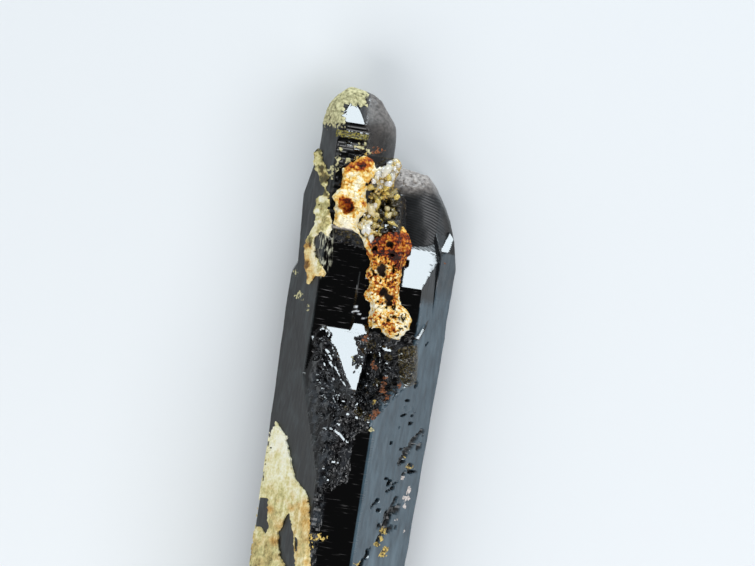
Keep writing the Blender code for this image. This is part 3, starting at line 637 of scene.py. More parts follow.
rightPits = [  # x, y, length, half-width, slant in degrees: etched hollows that run up the right face
    (11.2, 23.1, 1.6, 0.35, 35), (10.6, 22.1, 1.8, 0.42, 30), (10.0, 20.6, 1.9, 0.45, 38),
    (9.4, 19.2, 1.3, 0.5, 30), (10.6, 17.4, 0.9, 0.45, 0), (9.2, 18.2, 0.8, 0.35, 60),
    (8.8, 14.8, 0.9, 0.2, 50), (8.0, 13.6, 1.2, 0.22, 45), (7.4, 15.3, 0.8, 0.16, 70),
    (6.3, 11.6, 0.9, 0.2, 50), (5.7, 10.8, 0.5, 0.2, 40), (9.0, 11.8, 1.6, 0.3, 15),
    (8.6, 9.8, 2.2, 0.5, 18), (8.1, 7.9, 2.2, 0.55, 16), (7.6, 5.8, 1.8, 0.4, 20), (7.4, 5.1, 1.0, 0.3, 15),
    (8.5, 3.3, 0.8, 0.3, 0), (5.7, 2.2, 1.4, 0.35, 30), (5.3, 1.2, 1.0, 0.3, 20), (9.5, 30.9, 0.7, 0.3, 0),
    (8.4, 25.8, 0.7, 0.12, 60), (7.2, -9.0, 4.6, 0.6, 16), (9.6, -16.0, 2.4, 0.5, 24),
    (10.2, 37.5, 0.9, 0.14, 25), (11.9, 23.2, 0.8, 0.25, 10), (11.6, 21.2, 0.9, 0.3, 20),
    (9.0, 20.4, 0.6, 0.22, 60), (11.2, 16.9, 0.7, 0.28, 70), (9.9, 16.6, 0.5, 0.3, 20),
    (7.7, 14.6, 0.7, 0.25, 30), (6.6, 9.9, 0.5, 0.2, 60), (9.6, 10.6, 1.0, 0.3, 30),
    (8.0, 9.4, 0.9, 0.25, 10), (8.9, 7.2, 0.9, 0.3, 30), (7.2, 7.6, 0.7, 0.25, 50),
    (7.9, 23.6, 0.4, 0.16, 20), (9.6, 24.6, 0.4, 0.16, 70), (7.0, 21.0, 0.3, 0.14, 0),
    (6.1, 3.4, 0.6, 0.25, 60), (4.9, 0.2, 0.8, 0.3, 30), (9.8, 7.6, 0.5, 0.2, 40),
    (8.6, 28.2, 0.5, 0.1, 80), (9.9, 26.2, 0.6, 0.1, 35)]
pitRing = (8.9, 27.0, 0.62)  # a thin etched ring: x, y, radius
# the pyramid face that the mirror is a part of
mirrorFace = [(-5.4, 38.2), (0.9, 38.2), (1.0, 28.0), (-0.9, 28.6)]


def slots(x, y, rows):  # long rounded hollows with ragged sides
    ragged = 0.5 * (cloud(x, y, 0.6, 77) - 0.5)
    best = np.zeros(np.shape(x))
    for px, py, length, half, slant in rows:
        s, c = math.sin(math.radians(slant)), math.cos(math.radians(slant))
        along, across = (x - px) * s + (y - py) * c, (x - px) * c - (y - py) * s
        apart = np.hypot(np.maximum(np.abs(along) - 0.5 * length, 0), across) + ragged
        best = np.maximum(best, fade(apart, half, 0.4 * half))
    return best


roughZone = [(-7.6, 35.6), (-5.2, 37.0), (-1.2, 38.2), (3.4, 38.0), (8.4, 38.6), (9.3, 32.0), (7.0, 30.2),
             (5.2, 25.4), (3.6, 23.2), (1.0, 21.0), (1.2, 14.0), (-1.0, 12.2), (-4.9, 12.6), (-6.6, 21.0),
             (-7.6, 27.0)]
mirrorScratches = [(-0.4, 32.1, 1.7, 0.16, 22), (0.1, 31.7, 1.0, 0.1, 22)]
# lets the mirror run past the front's edge
trench = [(-2.25, 37.8), (-2.25, 47.0), (0.72, 47.0), (0.72, 37.8)]
greenPatch = [(5.7, 36.2), (7.4, 36.9), (8.75, 37.3), (9.25, 34.9), (9.6, 31.1), (8.0, 30.2), (6.9, 31.4),
              (6.2, 33.8)]


def smoothParts(x, y):  # 1 on the mirror, the small facets and the sliver band
    best = fade(outlineDepth(x, y, mirrorZone), -0.05, 0.07) * (1 - slots(x, y, mirrorScratches))
    for outline in brightFacets + mirrorFlecks + [ribFacet]:
        best = np.maximum(best, fade(outlineDepth(x, y, outline), -0.12, 0.0))
    return np.maximum(best, fade(outlineDepth(x, y, etched["zones"][0][0]), -0.1, 0.2))


etchHeights = {  # millimetres
    "flatTops": 0.24, "crumbs": 0.15, "uneven": 1.1, "sunkPyramid": 0.16, "strip": 0.2,
    "growthSteps": 0.05, "upperCrumbs": 0.10, "flankLines": 0.03, "pits": 0.6, "ring": 0.1,
}


def prismRelief(x, y, z, normal):  # millimetres along the face's normal
    nx, ny, nz = normal[..., 0], normal[..., 1], normal[..., 2]
    across = x * nz - z * nx
    front, pyramid = (nz > 0.93) & (np.abs(ny) < 0.1), ny > 0.3
    flank = (np.abs(nx) > 0.7) & (np.abs(ny) < 0.1) & (nz > 0)
    corner = fade(outlineDepth(x, y, greenPatch), -0.1, 0.2)
    rough = np.maximum(fade(outlineDepth(x, y, roughZone) + 0.9 * (cloud(x, y, 1.6, 78) - 0.5), -0.3, 0.5),
                       corner)
    lumps, lumpKind = grains(across, y, 1.15, 31)
    crumbs, crumbKind = grains(across + 0.3 * y, y, 0.6, 36)
    low = -0.03 * cloud(across, y, 3.5, 5)
    steps, kind = growthScales(across, y, 1.7, 0.62, 40)
    upperPatch = fade(cloud(x, y, 3.0, 12), 0.45, 0.65)
    relief = np.where(front, low + etchHeights["growthSteps"] * steps * (kind > 0.92) * upperPatch, 0)
    upper = fade(y, 50.0, 52.6) * fade(x, -0.6, -1.6)
    crumbled = etchHeights["upperCrumbs"] * fade(crumbs, 0.1, 0.5) * (crumbKind > 0.6) * upper
    relief = np.where(front, relief + crumbled, relief)
    lines = etchHeights["flankLines"] * (cloud(across * 3, y * 0.4, 1.2, 8) - 0.5)
    relief = np.where(flank, low + lines, relief)
    flatTops = etchHeights["flatTops"] * (fade(lumps, 0.1, 0.42) - 0.5) * (0.25 + 0.75 * lumpKind)
    grainy = flatTops + etchHeights["crumbs"] * fade(crumbs, 0.08, 0.45) * (crumbKind > 0.62)
    uneven = etchHeights["uneven"] * (cloud(across, y, 0.85, 79) - 0.5) * pyramid
    carved = uneven - etchHeights["sunkPyramid"] * pyramid * fade(outlineDepth(x, y, mirrorFace), -0.1, 0.2)
    where = (front | pyramid | (np.abs(nx) < 0.75) | (corner > 0.3)) * (nz > 0.2)
    relief = relief + where * rough * (1 - smoothParts(x, y)) * (grainy + carved)
    stripLeft = fade(x, -1.6, -3.0) * front * (y < 30)
    relief = relief + stripLeft * etchHeights["strip"] * fade(crumbs, 0.1, 0.5) * (crumbKind > 0.62)
    onRight = flank & (nx > 0)
    ringX, ringY, radius = pitRing
    ring = fade(np.abs(np.hypot(x - ringX, y - ringY) - radius), 0.2, 0.05) * ~((x > 8.4) & (y > 27.3))
    hollows = etchHeights["pits"] * slots(x, y, rightPits) + etchHeights["ring"] * ring
    relief = relief - np.where(onRight, hollows, 0)
    continued = np.maximum(lowZ - (y - lowEdgeY) * rhombSlope, highZ - 0.93)
    sunk = (highZ - continued) * fade(y, 46.8, 39.4)
    inTrench = (front & (z < highZ + 0.4) & (outlineDepth(x, y, trench) > 0)
                & (y > morion["mirrorTopY"] + 0.02))
    return np.where(inTrench, -sunk, relief)


def shoulderRelief(x, y, z, normal):  # a wavy skin with a frosted, pitted top
    frost = fade(y - 0.12 * (x - 1.8), 61.0, 62.2)
    pitted = 0.18 * (fade(grains(x, y, 0.6, 92)[0], 0.1, 0.5) - 0.5) * frost
    return pitted - 0.16 * cloud(x, y + z, 2.6, 93) + 0.05


def fingerRelief(x, y, z, normal):
    nx, ny, nz = normal[..., 0], normal[..., 1], normal[..., 2]
    lumps, kind = grains(x * nz - z * nx, y, 0.6, 33)
    pyramid, front = (nz > 0.7) & (ny > 0.5) & (np.abs(nx) < 0.05), (nz > 0.9) & (np.abs(ny) < 0.1)
    skin = fade(x + 0.35 * (y - 71.0), -6.8, -8.4) * fade(y, 68.5, 71.0) + fade(y, 74.0, 75.2)
    band = front * fade(np.abs(y - 69.1), 0.75, 0.35) * (x < -4.3)
    steps, stepKind = growthScales(x, y, 1.2, 0.5, 34)
    waves = 0.16 * (cloud(x, y + 0.7 * z, 1.9, 35) - 0.5) * ~pyramid * ~front
    lines = 0.05 * np.sin(y * 14.0 + 2.0 * cloud(x, y, 1.5, 37)) * front * (y > 66) * fade(y, 70.9, 70.6)
    relief = waves + 0.18 * lumps * np.clip(skin, 0, 1) * ~pyramid + 0.2 * lumps * band + lines
    return relief + 0.12 * steps * front * (stepKind > 0.45) * fade(y, 68.4, 67.8)


def prismShell():
    y = np.concatenate([np.linspace(-20, -3, 18, endpoint=False), np.linspace(-3, 12, 38, endpoint=False),
                        np.linspace(12, 18, 24, endpoint=False), np.linspace(18, 38.6, 122, endpoint=False),
                        np.linspace(38.6, 56, 88, endpoint=False), np.linspace(56, 63.5, 16)])
    # a row on each edge under a pyramid face
    for exact in (lowEdgeY, morion["mirrorTopY"], rightEdgeY, leftEdgeY):
        y[np.argmin(np.abs(y - exact))] = exact
    endRows = 8
    y = np.concatenate([np.full(endRows, -20.5), y])
    frontZ = np.clip(lowZ - (y - lowEdgeY) * rhombSlope, highZ, lowZ)
    reach = (frontZ - morion["girdleZ"]) / math.tan(math.radians(side))
    left, right, girdle, backHalf = morion["leftX"], morion["rightX"], morion["girdleZ"], 9.8
    flat = np.ones_like(y)
    section = [(left + reach, frontZ), (right - reach, frontZ), (right * flat, girdle * flat),
               (backHalf * flat, 0 * flat), (-backHalf * flat, 0 * flat), (left * flat, girdle * flat)]
    corners = np.stack([np.stack(corner, -1) for corner in section], axis=1)
    towards = columnsAlong(corners, (88, 56, 9, 14, 9, 56))
    axis = np.stack([0 * y, np.interp(y, [50, 60, 63.5], [7.0, 6.0, 5.3])], -1)
    rows = np.repeat(y[:, None], towards.shape[1], axis=1)
    share = np.arange(endRows) / endRows
    rimY = baseHeight(towards[0, :, 0] * 0.97, towards[0, :, 1] * 0.97)
    rows[:endRows] = rimY[None] * (1 - share)[:, None] + (-20.0) * share[:, None]
    return radialShell("morionPrism", prismCrystals, rows, axis, towards, prismRelief, smallCrystals(),
                       base=baseHeight)


def roundShell(name, solid, y, axis, counts, relief, flattened=1.0, melt=0.0, small=()):
    # columns at even angles, closer together over the top
    over, under = counts
    angles = np.concatenate([np.linspace(-95, 95, over, endpoint=False),
                             np.linspace(95, 265, under, endpoint=False)])
    turn = np.radians(angles)[None, :] + 0 * y[:, None]
    towards = np.stack([axis[:, :1] + np.sin(turn), axis[:, 1:] + flattened * np.cos(turn)], -1)
    rows = np.repeat(y[:, None], towards.shape[1], axis=1)
    end = upperEnd(solid, max(melt, 0.02))
    return radialShell(name, [solid], rows, axis, towards, relief, small, top=end, melt=melt)


def fingerShell():
    y = np.concatenate([np.linspace(50.2, 64, 40, endpoint=False), np.linspace(64, 75.4, 64)])
    y[np.argmin(np.abs(y - morion["fingerEdgeY"]))] = morion["fingerEdgeY"]
    half, x, z = morion["fingerHalf"], morion["fingerX"], morion["fingerZ"]
    turn = np.radians([-30, 30, 90, 150, 210, 270])
    corners = np.stack([x + half * np.sin(turn), z + half * np.cos(turn)], -1)[None] + 0 * y[:, None, None]
    towards = columnsAlong(corners, (40, 34, 14, 12, 14, 30))
    axis = np.stack([np.interp(y, [68, 73, 75.4], [x, -6.4, -7.0]), z + 0 * y], -1)
    towards = towards + (axis - np.array([x, z]))[:, None]
    rows = np.repeat(y[:, None], towards.shape[1], axis=1)
    swelled = fingerFaces + np.array([0, 0, 0, 0.16])
    swelled[:, 3] += np.array(
        [0, 0.34, 0.3, 0, 0, 0, 0, 0.1, 0.12, 0.12, 0.16, 0.16, 0.14, 0.4, 0.32] + [0] * 4)
    swelled[[0, 6]] = fingerFaces[[0, 6]]
    return radialShell("morionFinger", [swelled], rows, axis, towards, fingerRelief,
                       top=upperEnd(swelled, 0.25),
                       capRings=14, melt=0.42, crisp=(0, 6))


def shoulderShell():
    y = np.linspace(41, 64.6, 116)
    axis = np.stack([np.interp(y, [50, 60, 64.6], [5.0, 4.0, 3.0]), 4.6 + 0 * y], -1)
    swelled = shoulderPlanes + np.array([0, 0, 0, 0.2])
    return roundShell("morionShoulder", swelled, y, axis, (116, 40), shoulderRelief, 0.45, melt=0.4)


def ribShell():
    y = np.concatenate([np.linspace(38, 51, 30, endpoint=False), np.linspace(51, 60.5, 60)])
    axis = np.stack([np.interp(y, [40, 56, 60.5], [10.4, 10.2, 8.6]), 5.0 + 0 * y], -1)
    bright = facet(ribFacet, [ribPlanes], 6.0, 0.02)
    return roundShell("morionRib", ribPlanes, y, axis, (72, 16), prismRelief, small=[bright])


def slabShell():
    y = np.linspace(47.2, 64.4, 60)
    turns = [48, 60, 64.4]
    axis = np.stack([np.interp(y, turns, [-10.0, -10.2, -11.4]), np.interp(y, turns, [6.5, 6.3, 6.8])], -1)
    return roundShell("morionSlab", slabPlanes, y, axis, (56, 24), prismRelief)


def joined(first, others):  # one closed skin round all of them
    for other in others:
        union = first.modifiers.new("union", "BOOLEAN")
        union.operation, union.solver, union.object = "UNION", "MANIFOLD", other
        graph = bpy.context.evaluated_depsgraph_get()
        mesh = bpy.data.meshes.new_from_object(first.evaluated_get(graph))
        first.modifiers.clear()
        first.data = mesh
        bpy.data.objects.remove(other)
    return first


crystal = joined(prismShell(), [slabShell(), ribShell(), shoulderShell(), fingerShell()])
crystal.name = crystal.data.name = "morionCrystal"
print("2 crystal shell:", len(crystal.data.polygons), "faces")


def planeDepth(x, y, z, face):  # how far a point lies under one face
    return face[3] - face[0] * x - face[1] * y - face[2] * z


stains = {  # places on the crystal: x, y, radius, and a strength where it isn't 1
    "rust": [(2.0, 33.2, 0.7, 0.8), (2.6, 32.6, 0.8), (4.4, 31.4, 0.6, 0.7), (4.6, 30.4, 0.7),
             (4.4, 29.3, 0.8), (5.2, 28.3, 0.8, 0.7), (3.9, 25.5, 1.2), (3.3, 24.8, 0.8, 0.7),
             (0.3, 36.7, 0.9, 0.8), (0.6, 37.4, 0.6, 0.6), (7.0, 30.6, 0.7, 0.8), (11.1, 50.6, 0.5, 0.7),
             (-3.2, 66.9, 1.1, 0.7), (-2.3, 67.1, 0.9, 0.7), (-1.5, 67.5, 0.8, 0.6),
             (-4.3, 66.3, 0.8, 0.6)],
    "gold": [(9.5, 19.4, 0.6, 0.6), (10.3, 17.7, 0.8, 0.6), (11.1, 17.4, 0.5, 0.6), (8.2, 6.9, 0.8),
             (7.8, 5.7, 0.7, 0.8), (7.2, 4.5, 0.8), (8.9, 4.0, 0.7), (8.5, 3.0, 0.9), (4.8, 1.0, 0.8, 0.8),
             (-4.3, 3.0, 1.3, 0.75), (-3.3, 3.9, 1.3, 0.7), (-2.0, 4.2, 1.2, 0.62), (-3.4, 2.2, 1.1, 0.8),
             (-1.1, 4.2, 0.9, 0.55), (0.0, 46.0, 0.8, 0.7), (-0.5, 45.2, 0.6, 0.5), (-5.4, 65.6, 0.6, 0.7),
             (-4.3, 66.4, 0.7, 0.7), (-6.2, 65.4, 0.5, 0.6), (3.1, 27.2, 0.7, 0.6)],
    "cream": [(-11.3, 42.3, 1.2, 0.6), (-9.5, 40.5, 0.9, 0.5), (-12.5, 45.8, 1.1, 0.55),
              (-0.95, 33.55, 0.5, 0.8), (-8.4, 66.6, 0.9, 0.62), (-5.1, 67.4, 0.9, 0.62),
              (-4.6, 67.9, 0.8, 0.6), (-4.0, 66.8, 0.9, 0.55), (-8.3, 64.9, 0.9, 0.7),
              (-6.9, 65.1, 0.8, 0.7), (-8.6, 64.0, 0.9, 0.62), (-9.1, 63.1, 1.0, 0.62),
              (-9.2, 61.9, 0.8, 0.55), (-6.2, 67.3, 0.6, 0.55), (0.2, 65.2, 0.7, 0.6),
              (3.7, 22.6, 0.8, 0.62)],
    "brown": [(1.4, 36.2, 1.5), (2.2, 34.6, 1.1), (4.4, 34.6, 1.3), (3.2, 30.3, 1.3), (5.6, 28.6, 1.5),
              (1.0, 25.2, 1.4), (2.8, 24.4, 1.3), (-1.0, 25.4, 0.9), (7.4, 30.4, 1.1)],
    "pale": [(10.95, 13.8, 0.7), (10.6, 12.5, 0.8), (10.7, 11.2, 0.7), (9.8, 15.8, 0.6),
             (9.6, 9.0, 0.6, 0.7), (11.0, 7.4, 0.5, 0.6)],
}
# white dashes painted where small facets and edges catch the light: painted glints and highlights
paintedGlintStrokes = [  # x, y, length, half-width, slant
    (-1.8, 41.2, 1.0, 0.13, 78), (-1.6, 40.7, 1.0, 0.13, 78), (-0.4, 40.2, 0.7, 0.13, 70),
    (-6.4, 67.4, 0.8, 0.12, 84), (-6.2, 66.9, 0.9, 0.12, 80), (-0.9, 47.0, 0.6, 0.2, 20),
    (-2.0, 41.8, 0.3, 0.12, 60)]
streakedZone = [(-10.4, 53.4), (-7.9, 53.8), (-7.0, 51.0), (-7.2, 46.8), (-8.4, 45.6), (-9.3, 48.2),
                (-10.1, 50.6)]


def crystalMasks():
    x, y, z = workPlaces(crystal)
    wx, wy = x + 1.1 * (cloud(x, y, 0.7, 22) - 0.5), y + 1.1 * (cloud(x, y, 0.7, 23) - 0.5)  # uneven places
    upperSide = z > 5
    rightFace = plane(side, 0, (rightEdge[0], 0, rightEdge[1]))
    leftFace = plane(-side, 0, (leftEdge[0], 0, leftEdge[1]))
    corner = fade(outlineDepth(x, y, greenPatch), -0.15, 0.15)
    onRight = fade(planeDepth(x, y, z, rightFace), 0.38, 0.28) * (z > 5.3) * (1 - 0.9 * corner)
    ridge = (x > 9.0) * fade(y, 43.5, 48.0) * (y < 60) * fade(z, 4.8, 5.4)  # the rib beside the shoulder
    onLeft = fade(planeDepth(x, y, z, leftFace), 0.3, 0.12) * (z > 5.2)
    slabFace = plane(-side, 0, (leftEdge[0] - 0.2, 0, leftEdge[1] - 0.1))
    onSlab = fade(planeDepth(x, y, z, slabFace), 0.5, 0.25) * (y > 46)
    onFinger = (y > 66.2) & (x < 0.6)
    belowTop = fade(planeDepth(x, y, z, plane(0, 0, (0, 0, 9.2))), -0.3, 0.1)
    onShoulder = belowTop * (y > 52.6) * (x > 1.0) * (1 - onFinger)
    pits = np.maximum(slots(x, y, rightPits), 0)
    smooth = smoothParts(x, y)
    ridge, onShoulder = ridge * (1 - smooth), onShoulder * (1 - smooth)
    # paintedSheen: the right face's blue-grey sheen is painted into its colour, standing in for the light it
    # catches; the rib gets a quarter of it
    paintedSheen = np.maximum(onRight, 0.25 * ridge * (1 - onRight))
    paintedSheen = paintedSheen * (1 - 0.9 * pits) * (1 - onFinger) * (1 - smooth)
    wall = fade(np.abs(x + 2.25), 0.2, 0.1) * (y > 39.4) * (y < 47.6) * (z > 12)
    fingerFlank = onFinger * fade(x, -9.0, -9.5)
    matte = np.maximum(np.maximum(onLeft, onSlab) * (1 - onFinger), np.maximum(wall, fingerFlank))
    frostTop = fade(y - 0.14 * (x - 1.8) + 1.2 * (cloud(x, y, 1.2, 19) - 0.5), 60.0, 63.6)
    frostTop = frostTop * (x > 0.2) * (x < 11) * (1 - onFinger)
    frostEdge = fade(np.abs(y - 54.15), 0.4, 0.1) * fade(x, -3.2, -3.8) * fade(x, -8.2, -7.6) * 0.9
    strip = fade(x, -1.7, -2.8) * (z > 15) * (y < 30) * (1 - onLeft)
    smoke = np.clip(onFinger * fade(x, -5.3, -4.6) + onFinger * fade(x, -8.9, -9.8) * 0.15
                    + 0.7 * onShoulder * fade(x - 0.3 * (58 - y), 9.2, 10.6) + 0.5 * ridge, 0, 1)
    frostFinger = 0.34 * onFinger * fade(x, -5.8, -4.4) * fade(y + 0.4 * x, 67.6, 72.5)
    frost = np.clip(frostTop + frostEdge + frostFinger, 0, 1)
    skinLine = x + 0.30 * (y - 71.0)
    skin = onFinger * fade(skinLine + 1.2 * (cloud(x, y, 0.9, 16) - 0.5), -7.7, -8.9)
    skin = skin * fade(y, 68.6, 71.2) * 0.8
    tipSkin = onFinger * fade(y + 1.2 * (cloud(x, y, 0.7, 18) - 0.5), 73.3, 74.6) * fade(x, -4.6, -6.2) * 0.9
    ochre = np.clip(skin + tipSkin + spots(wx, wy, stains["cream"]) * upperSide, 0, 1)
    rust = spots(wx, wy, stains["rust"]) * upperSide
    rough = fade(outlineDepth(x, y, roughZone) + 0.9 * (cloud(x, y, 1.6, 78) - 0.5), -0.5, 0.9)
    rough = rough * (1 - onRight) * (1 - onLeft)
    rough = np.maximum(rough, corner) * (1 - smooth)
    darkRough = (fade(y, 50.2, 52.4) * fade(y, 54.3, 53.9) * fade(x, -0.8, -1.6) * fade(x, -8.0, -7.0)
                 * (z > 12))
    rough = np.clip(rough + 0.7 * darkRough, 0, 1)
    veil = fade(outlineDepth(x, y, streakedZone), -0.5, 0.6)
    # pale lines painted along the front's growth striations: painted glints
    paintedGlintLines = (z > 12.9) * (z < 13.8) * (y > 37) * fade(x, -9.0, -7.0) + 0.35 * (z > 20.8) * (y < 24)
    olive = onFinger * (z > 12.4) * fade(np.abs(y - 69.1), 0.75, 0.3) * fade(x, -4.0, -4.6)
    brown = np.clip(corner + 0.8 * spots(x, y, stains["brown"]) * rough + 0.45 * darkRough, 0, 1)
    paint(crystal, "faceKind", matte, paintedSheen, frost, 1)
    paint(crystal, "growthKind", smoke, ochre, rust, 1)
    paint(crystal, "surfaceKind", rough, onShoulder * (1 - frostTop), veil, 1)
    paint(crystal, "stainKind", brown, olive, np.clip(strip, 0, 1), 1)
    # painted glints and highlights as white dashes
    strokes = slots(x, y, paintedGlintStrokes)
    marks = spots(wx, wy, stains["pale"]) * onRight
    gold = spots(wx, wy, stains["gold"]) * upperSide
    paint(crystal, "lineKind", np.clip(paintedGlintLines, 0, 1), np.clip(strokes, 0, 1), np.clip(marks, 0, 1), gold)
    return np.clip(rough + onShoulder + ridge * (z < 8.5) + onFinger * (z < 13.0), 0, 1)


crispEdges(crystal, 14, crystalMasks())


morionFinish = {
    "black": "#050505", "gloss": 0.045,
    "patterns": [  # waves in a metre, layers, turn in degrees, stretch
        ("streaks", 1100, 4, -38, (1, 0.3, 1)), ("bands", 260, 2, -52, (1, 0.25, 1)),
        ("fibres", 1500, 5, 0, (1, 0.35, 1)), ("smears", 700, 5, 0, (1, 0.4, 1)),
        ("strokes", 2600, 3, 14, (1, 0.25, 1)), ("hairs", 4200, 2, 0, (0.09, 1, 0.09)),
        ("specks", 3400, 3, 0, (1, 1, 1)), ("blotches", 620, 4, 0, (1, 1, 1)),
        ("lumps", 1500, 3, 0, (1, 1, 1)), ("torn", 1900, 4, 0, (1, 1, 1))],
    "layers": [  # painted channel, how torn its rim is, pattern, its low and high end, dark and light colour
        ("lumpy", ("surfaceKind", 0), 1.0, "blotches", 0.47, 0.62, "#050506", "#2b2d30"),
        ("strip", ("stainKind", 2), 0, "blotches", 0.44, 0.60, "#040405", "#2c3136"),
        ("brown", ("stainKind", 0), 1.2, "specks", 0.44, 0.66, "#0b0804", "#574c2c"),
        ("striated", ("surfaceKind", 1), 0, "rings", 0.25, 1.0, "#020303", "#12161a"),
        ("matte", ("faceKind", 0), 0, "smears", 0.47, 0.62, "#000000", "#1d2324"),
        # the right face's layer is a painted sheen, with painted pale bands
        ("paintedSheen", ("faceKind", 1), 0, "streaks", 0.30, 0.72, "#2a3a44", "#41545f"),
        # painted glints along the front's striations
        ("paintedGlints", ("lineKind", 0), 0, "hairs", 0.61, 0.72, "#060606", "#575555"),
        ("veil", ("surfaceKind", 2), 0, "strokes", 0.46, 0.62, "#0b0b09", "#b9b8a2"),
        ("smoke", ("growthKind", 0), 0, "blotches", 0.38, 0.66, "#0a0a09", "#2f2b28"),
        ("frost", ("faceKind", 2), 0, "torn", 0.30, 0.68, "#5c5551", "#b9b1ab"),
        ("olive", ("stainKind", 1), 2.4, "specks", 0.40, 0.60, "#1e1a04", "#8a8029"),
        ("rust", ("growthKind", 2), 1.6, "specks", 0.42, 0.60, "#190803", "#9a5726"),
        ("gold", ("lineKind", 3), 1.8, "specks", 0.40, 0.60, "#2f1f08", "#e3c56a"),
        # white dashes: painted glints and highlights
        ("strokes", ("lineKind", 1), 0, "specks", 0.2, 0.5, "#b9bec4", "#e4e9ee"),
        ("marks", ("lineKind", 2), 2.4, "specks", 0.34, 0.6, "#8f8782", "#d9cfc9"),
        ("ochre", ("growthKind", 1), 1.9, "torn", 0.34, 0.64, "#7b764f", "#d3cc9e")],
    "roughness": [("matte", 0.42), ("paintedSheen", 0.2), ("strip", 0.2), ("striated", 0.26), ("smoke", 0.2),
                  ("frost", 0.5), ("veil", 0.4), ("paintedGlints", 0.3), ("brown", 0.2), ("olive", 0.4),
                  ("rust", 0.5), ("ochre", 0.8), ("strokes", 0.3), ("marks", 0.5), ("gold", 0.5)],
    # pattern, millimetres
    "heights": [("lumpy", "glints", 0.10), ("strip", "glints", 0.05), ("striated", "rings", 0.03),
                ("matte", "fibres", 0.05), ("paintedSheen", "streaks", 0.045), ("smoke", "lumps", 0.07),
                ("frost", "specks", 0.08), ("ochre", "specks", 0.2), ("rust", "specks", 0.1)],
}


def morionMaterial():
    # Morion: quartz so smoky that it is opaque. Grown faces are glassy black mirrors, side faces are finely
    # etched and turn grey where they catch the light, the right one through a painted blue-grey sheen;
    # painted glints line the front, and stains of clay and iron sit in torn flecks on it.
    material, tree, shader = newMaterial("etchedMorion")
    place = addNode(tree, "TexCoord").outputs["Object"]
    kinds = {}
    for name in ("faceKind", "growthKind", "surfaceKind", "stainKind", "lineKind"):
        stored = addNode(tree, "Attribute", attribute_name=name).outputs
        parts = addNode(tree, "SeparateColor", {0: stored["Color"]}).outputs
        kinds[name] = list(parts) + [stored["Alpha"]]
    patterns = {}
    for name, scale, detail, turn, stretch in morionFinish["patterns"]:
        turned = addNode(tree, "Mapping", {"Vector": place, "Rotation": (0, 0, math.radians(turn)),
                                                     "Scale": stretch}).outputs[0]
        noise = addNode(tree, "TexNoise", {"Vector": turned, "Scale": scale, "Detail": detail})
        patterns[name] = noise.outputs["Fac"]
    patterns["glints"] = addNode(tree, "MapRange", {0: patterns["lumps"], 1: 0.55, 2: 0.62}).outputs[0]
    centred = addNode(tree, "Mapping", {"Vector": place, "Location": (-0.0032, -0.0200, 0)}).outputs[0]
    rings = addNode(tree, "TexWave", {"Vector": centred, "Scale": 760, "Distortion": 2.5, "Detail": 2,
                                      "Detail Scale": 0.4}, wave_type="RINGS", rings_direction="Z")
    patterns["rings"] = rings.outputs["Fac"]
    color = linear(morionFinish["black"])
    shares = {}
    for name, (attribute, channel), torn, pattern, low, high, dark, light in morionFinish["layers"]:
        share = kinds[attribute][channel]
        if torn:
            noisy = addNode(tree, "Math", {0: patterns["torn"], 1: torn, 2: -0.5 * torn},
                            operation="MULTIPLY_ADD").outputs[0]
            noisy = addNode(tree, "Math", {0: noisy, 1: share}, operation="ADD").outputs[0]
            noisy = addNode(tree, "MapRange", {0: noisy, 1: 0.44, 2: 0.56}).outputs[0]
            near = addNode(tree, "MapRange", {0: share, 1: 0.04, 2: 0.2}).outputs[0]
            share = addNode(tree, "Math", {0: noisy, 1: near}, operation="MULTIPLY").outputs[0]
        tone = addNode(tree, "MapRange", {0: patterns[pattern], 1: low, 2: high}).outputs[0]
        pair = addNode(tree, "Mix", {0: tone, 6: linear(dark), 7: linear(light)}, data_type="RGBA").outputs[2]
        # the broad pale bands on the right face are painted sheen
        if name == "paintedSheen":  # broad pale bands that rise to the right
            lift = addNode(tree, "MapRange", {0: patterns["bands"], 1: 0.52, 2: 0.70, 4: 0.4}).outputs[0]
            pair = addNode(tree, "Mix", {0: lift, 6: pair, 7: linear("#6f8591")}, data_type="RGBA").outputs[2]
        if name in ("veil", "paintedGlints"):  # only the strokes themselves are pale
            share = addNode(tree, "Math", {0: share, 1: tone}, operation="MULTIPLY").outputs[0]
        color = addNode(tree, "Mix", {0: share, 6: color, 7: pair}, data_type="RGBA").outputs[2]
        shares[name] = share
    tree.links.new(color, shader.inputs["Base Color"])
    rough = morionFinish["gloss"]
    for name, amount in morionFinish["roughness"]:
        rough = addNode(tree, "Math", {0: shares[name], 1: amount, 2: rough},
                        operation="MULTIPLY_ADD").outputs[0]
    tree.links.new(rough, shader.inputs["Roughness"])
    shader.inputs["IOR"].default_value = quartzIor
    height = 0.0  # in millimetres
    for name, pattern, tall in morionFinish["heights"]:
        part = addNode(tree, "Math", {0: shares[name], 1: patterns[pattern]}, operation="MULTIPLY").outputs[0]
        height = addNode(tree, "Math", {0: part, 1: tall, 2: height}, operation="MULTIPLY_ADD").outputs[0]
    bump = addNode(tree, "Bump", {"Height": height, "Strength": 1.0, "Distance": mmToMetres})
    tree.links.new(bump.outputs[0], shader.inputs["Normal"])
    return material


crystal.data.materials.clear()
crystal.data.materials.append(morionMaterial())
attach(crystal, "root")
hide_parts("morion_crystal")
print("3 crystal finished")


# crusts and coats are slabs whose upper side dips under the quartz outside their outline
def mapGrid(lowX, highX, lowY, highY, step):
    x = np.arange(lowX, highX + step, step)
    y = np.arange(lowY, highY + step, step)
    return np.meshgrid(x, y)


def crustPiece(name, x, y, thickness, ground, sink, lowest=-50.0):
    # top = ground + thickness, bottom = ground - sink; cells stay where the crust is near or above the ground
    top = np.maximum(ground + thickness, lowest)
    bottom = np.minimum(top - 0.05, np.maximum(np.minimum(ground, top) - sink, lowest - 0.05))
    near = thickness > -0.35
    keep = near[:-1, :-1] | near[:-1, 1:] | near[1:, :-1] | near[1:, 1:]
    return closedSlab(name, x, y, top, bottom, keep)


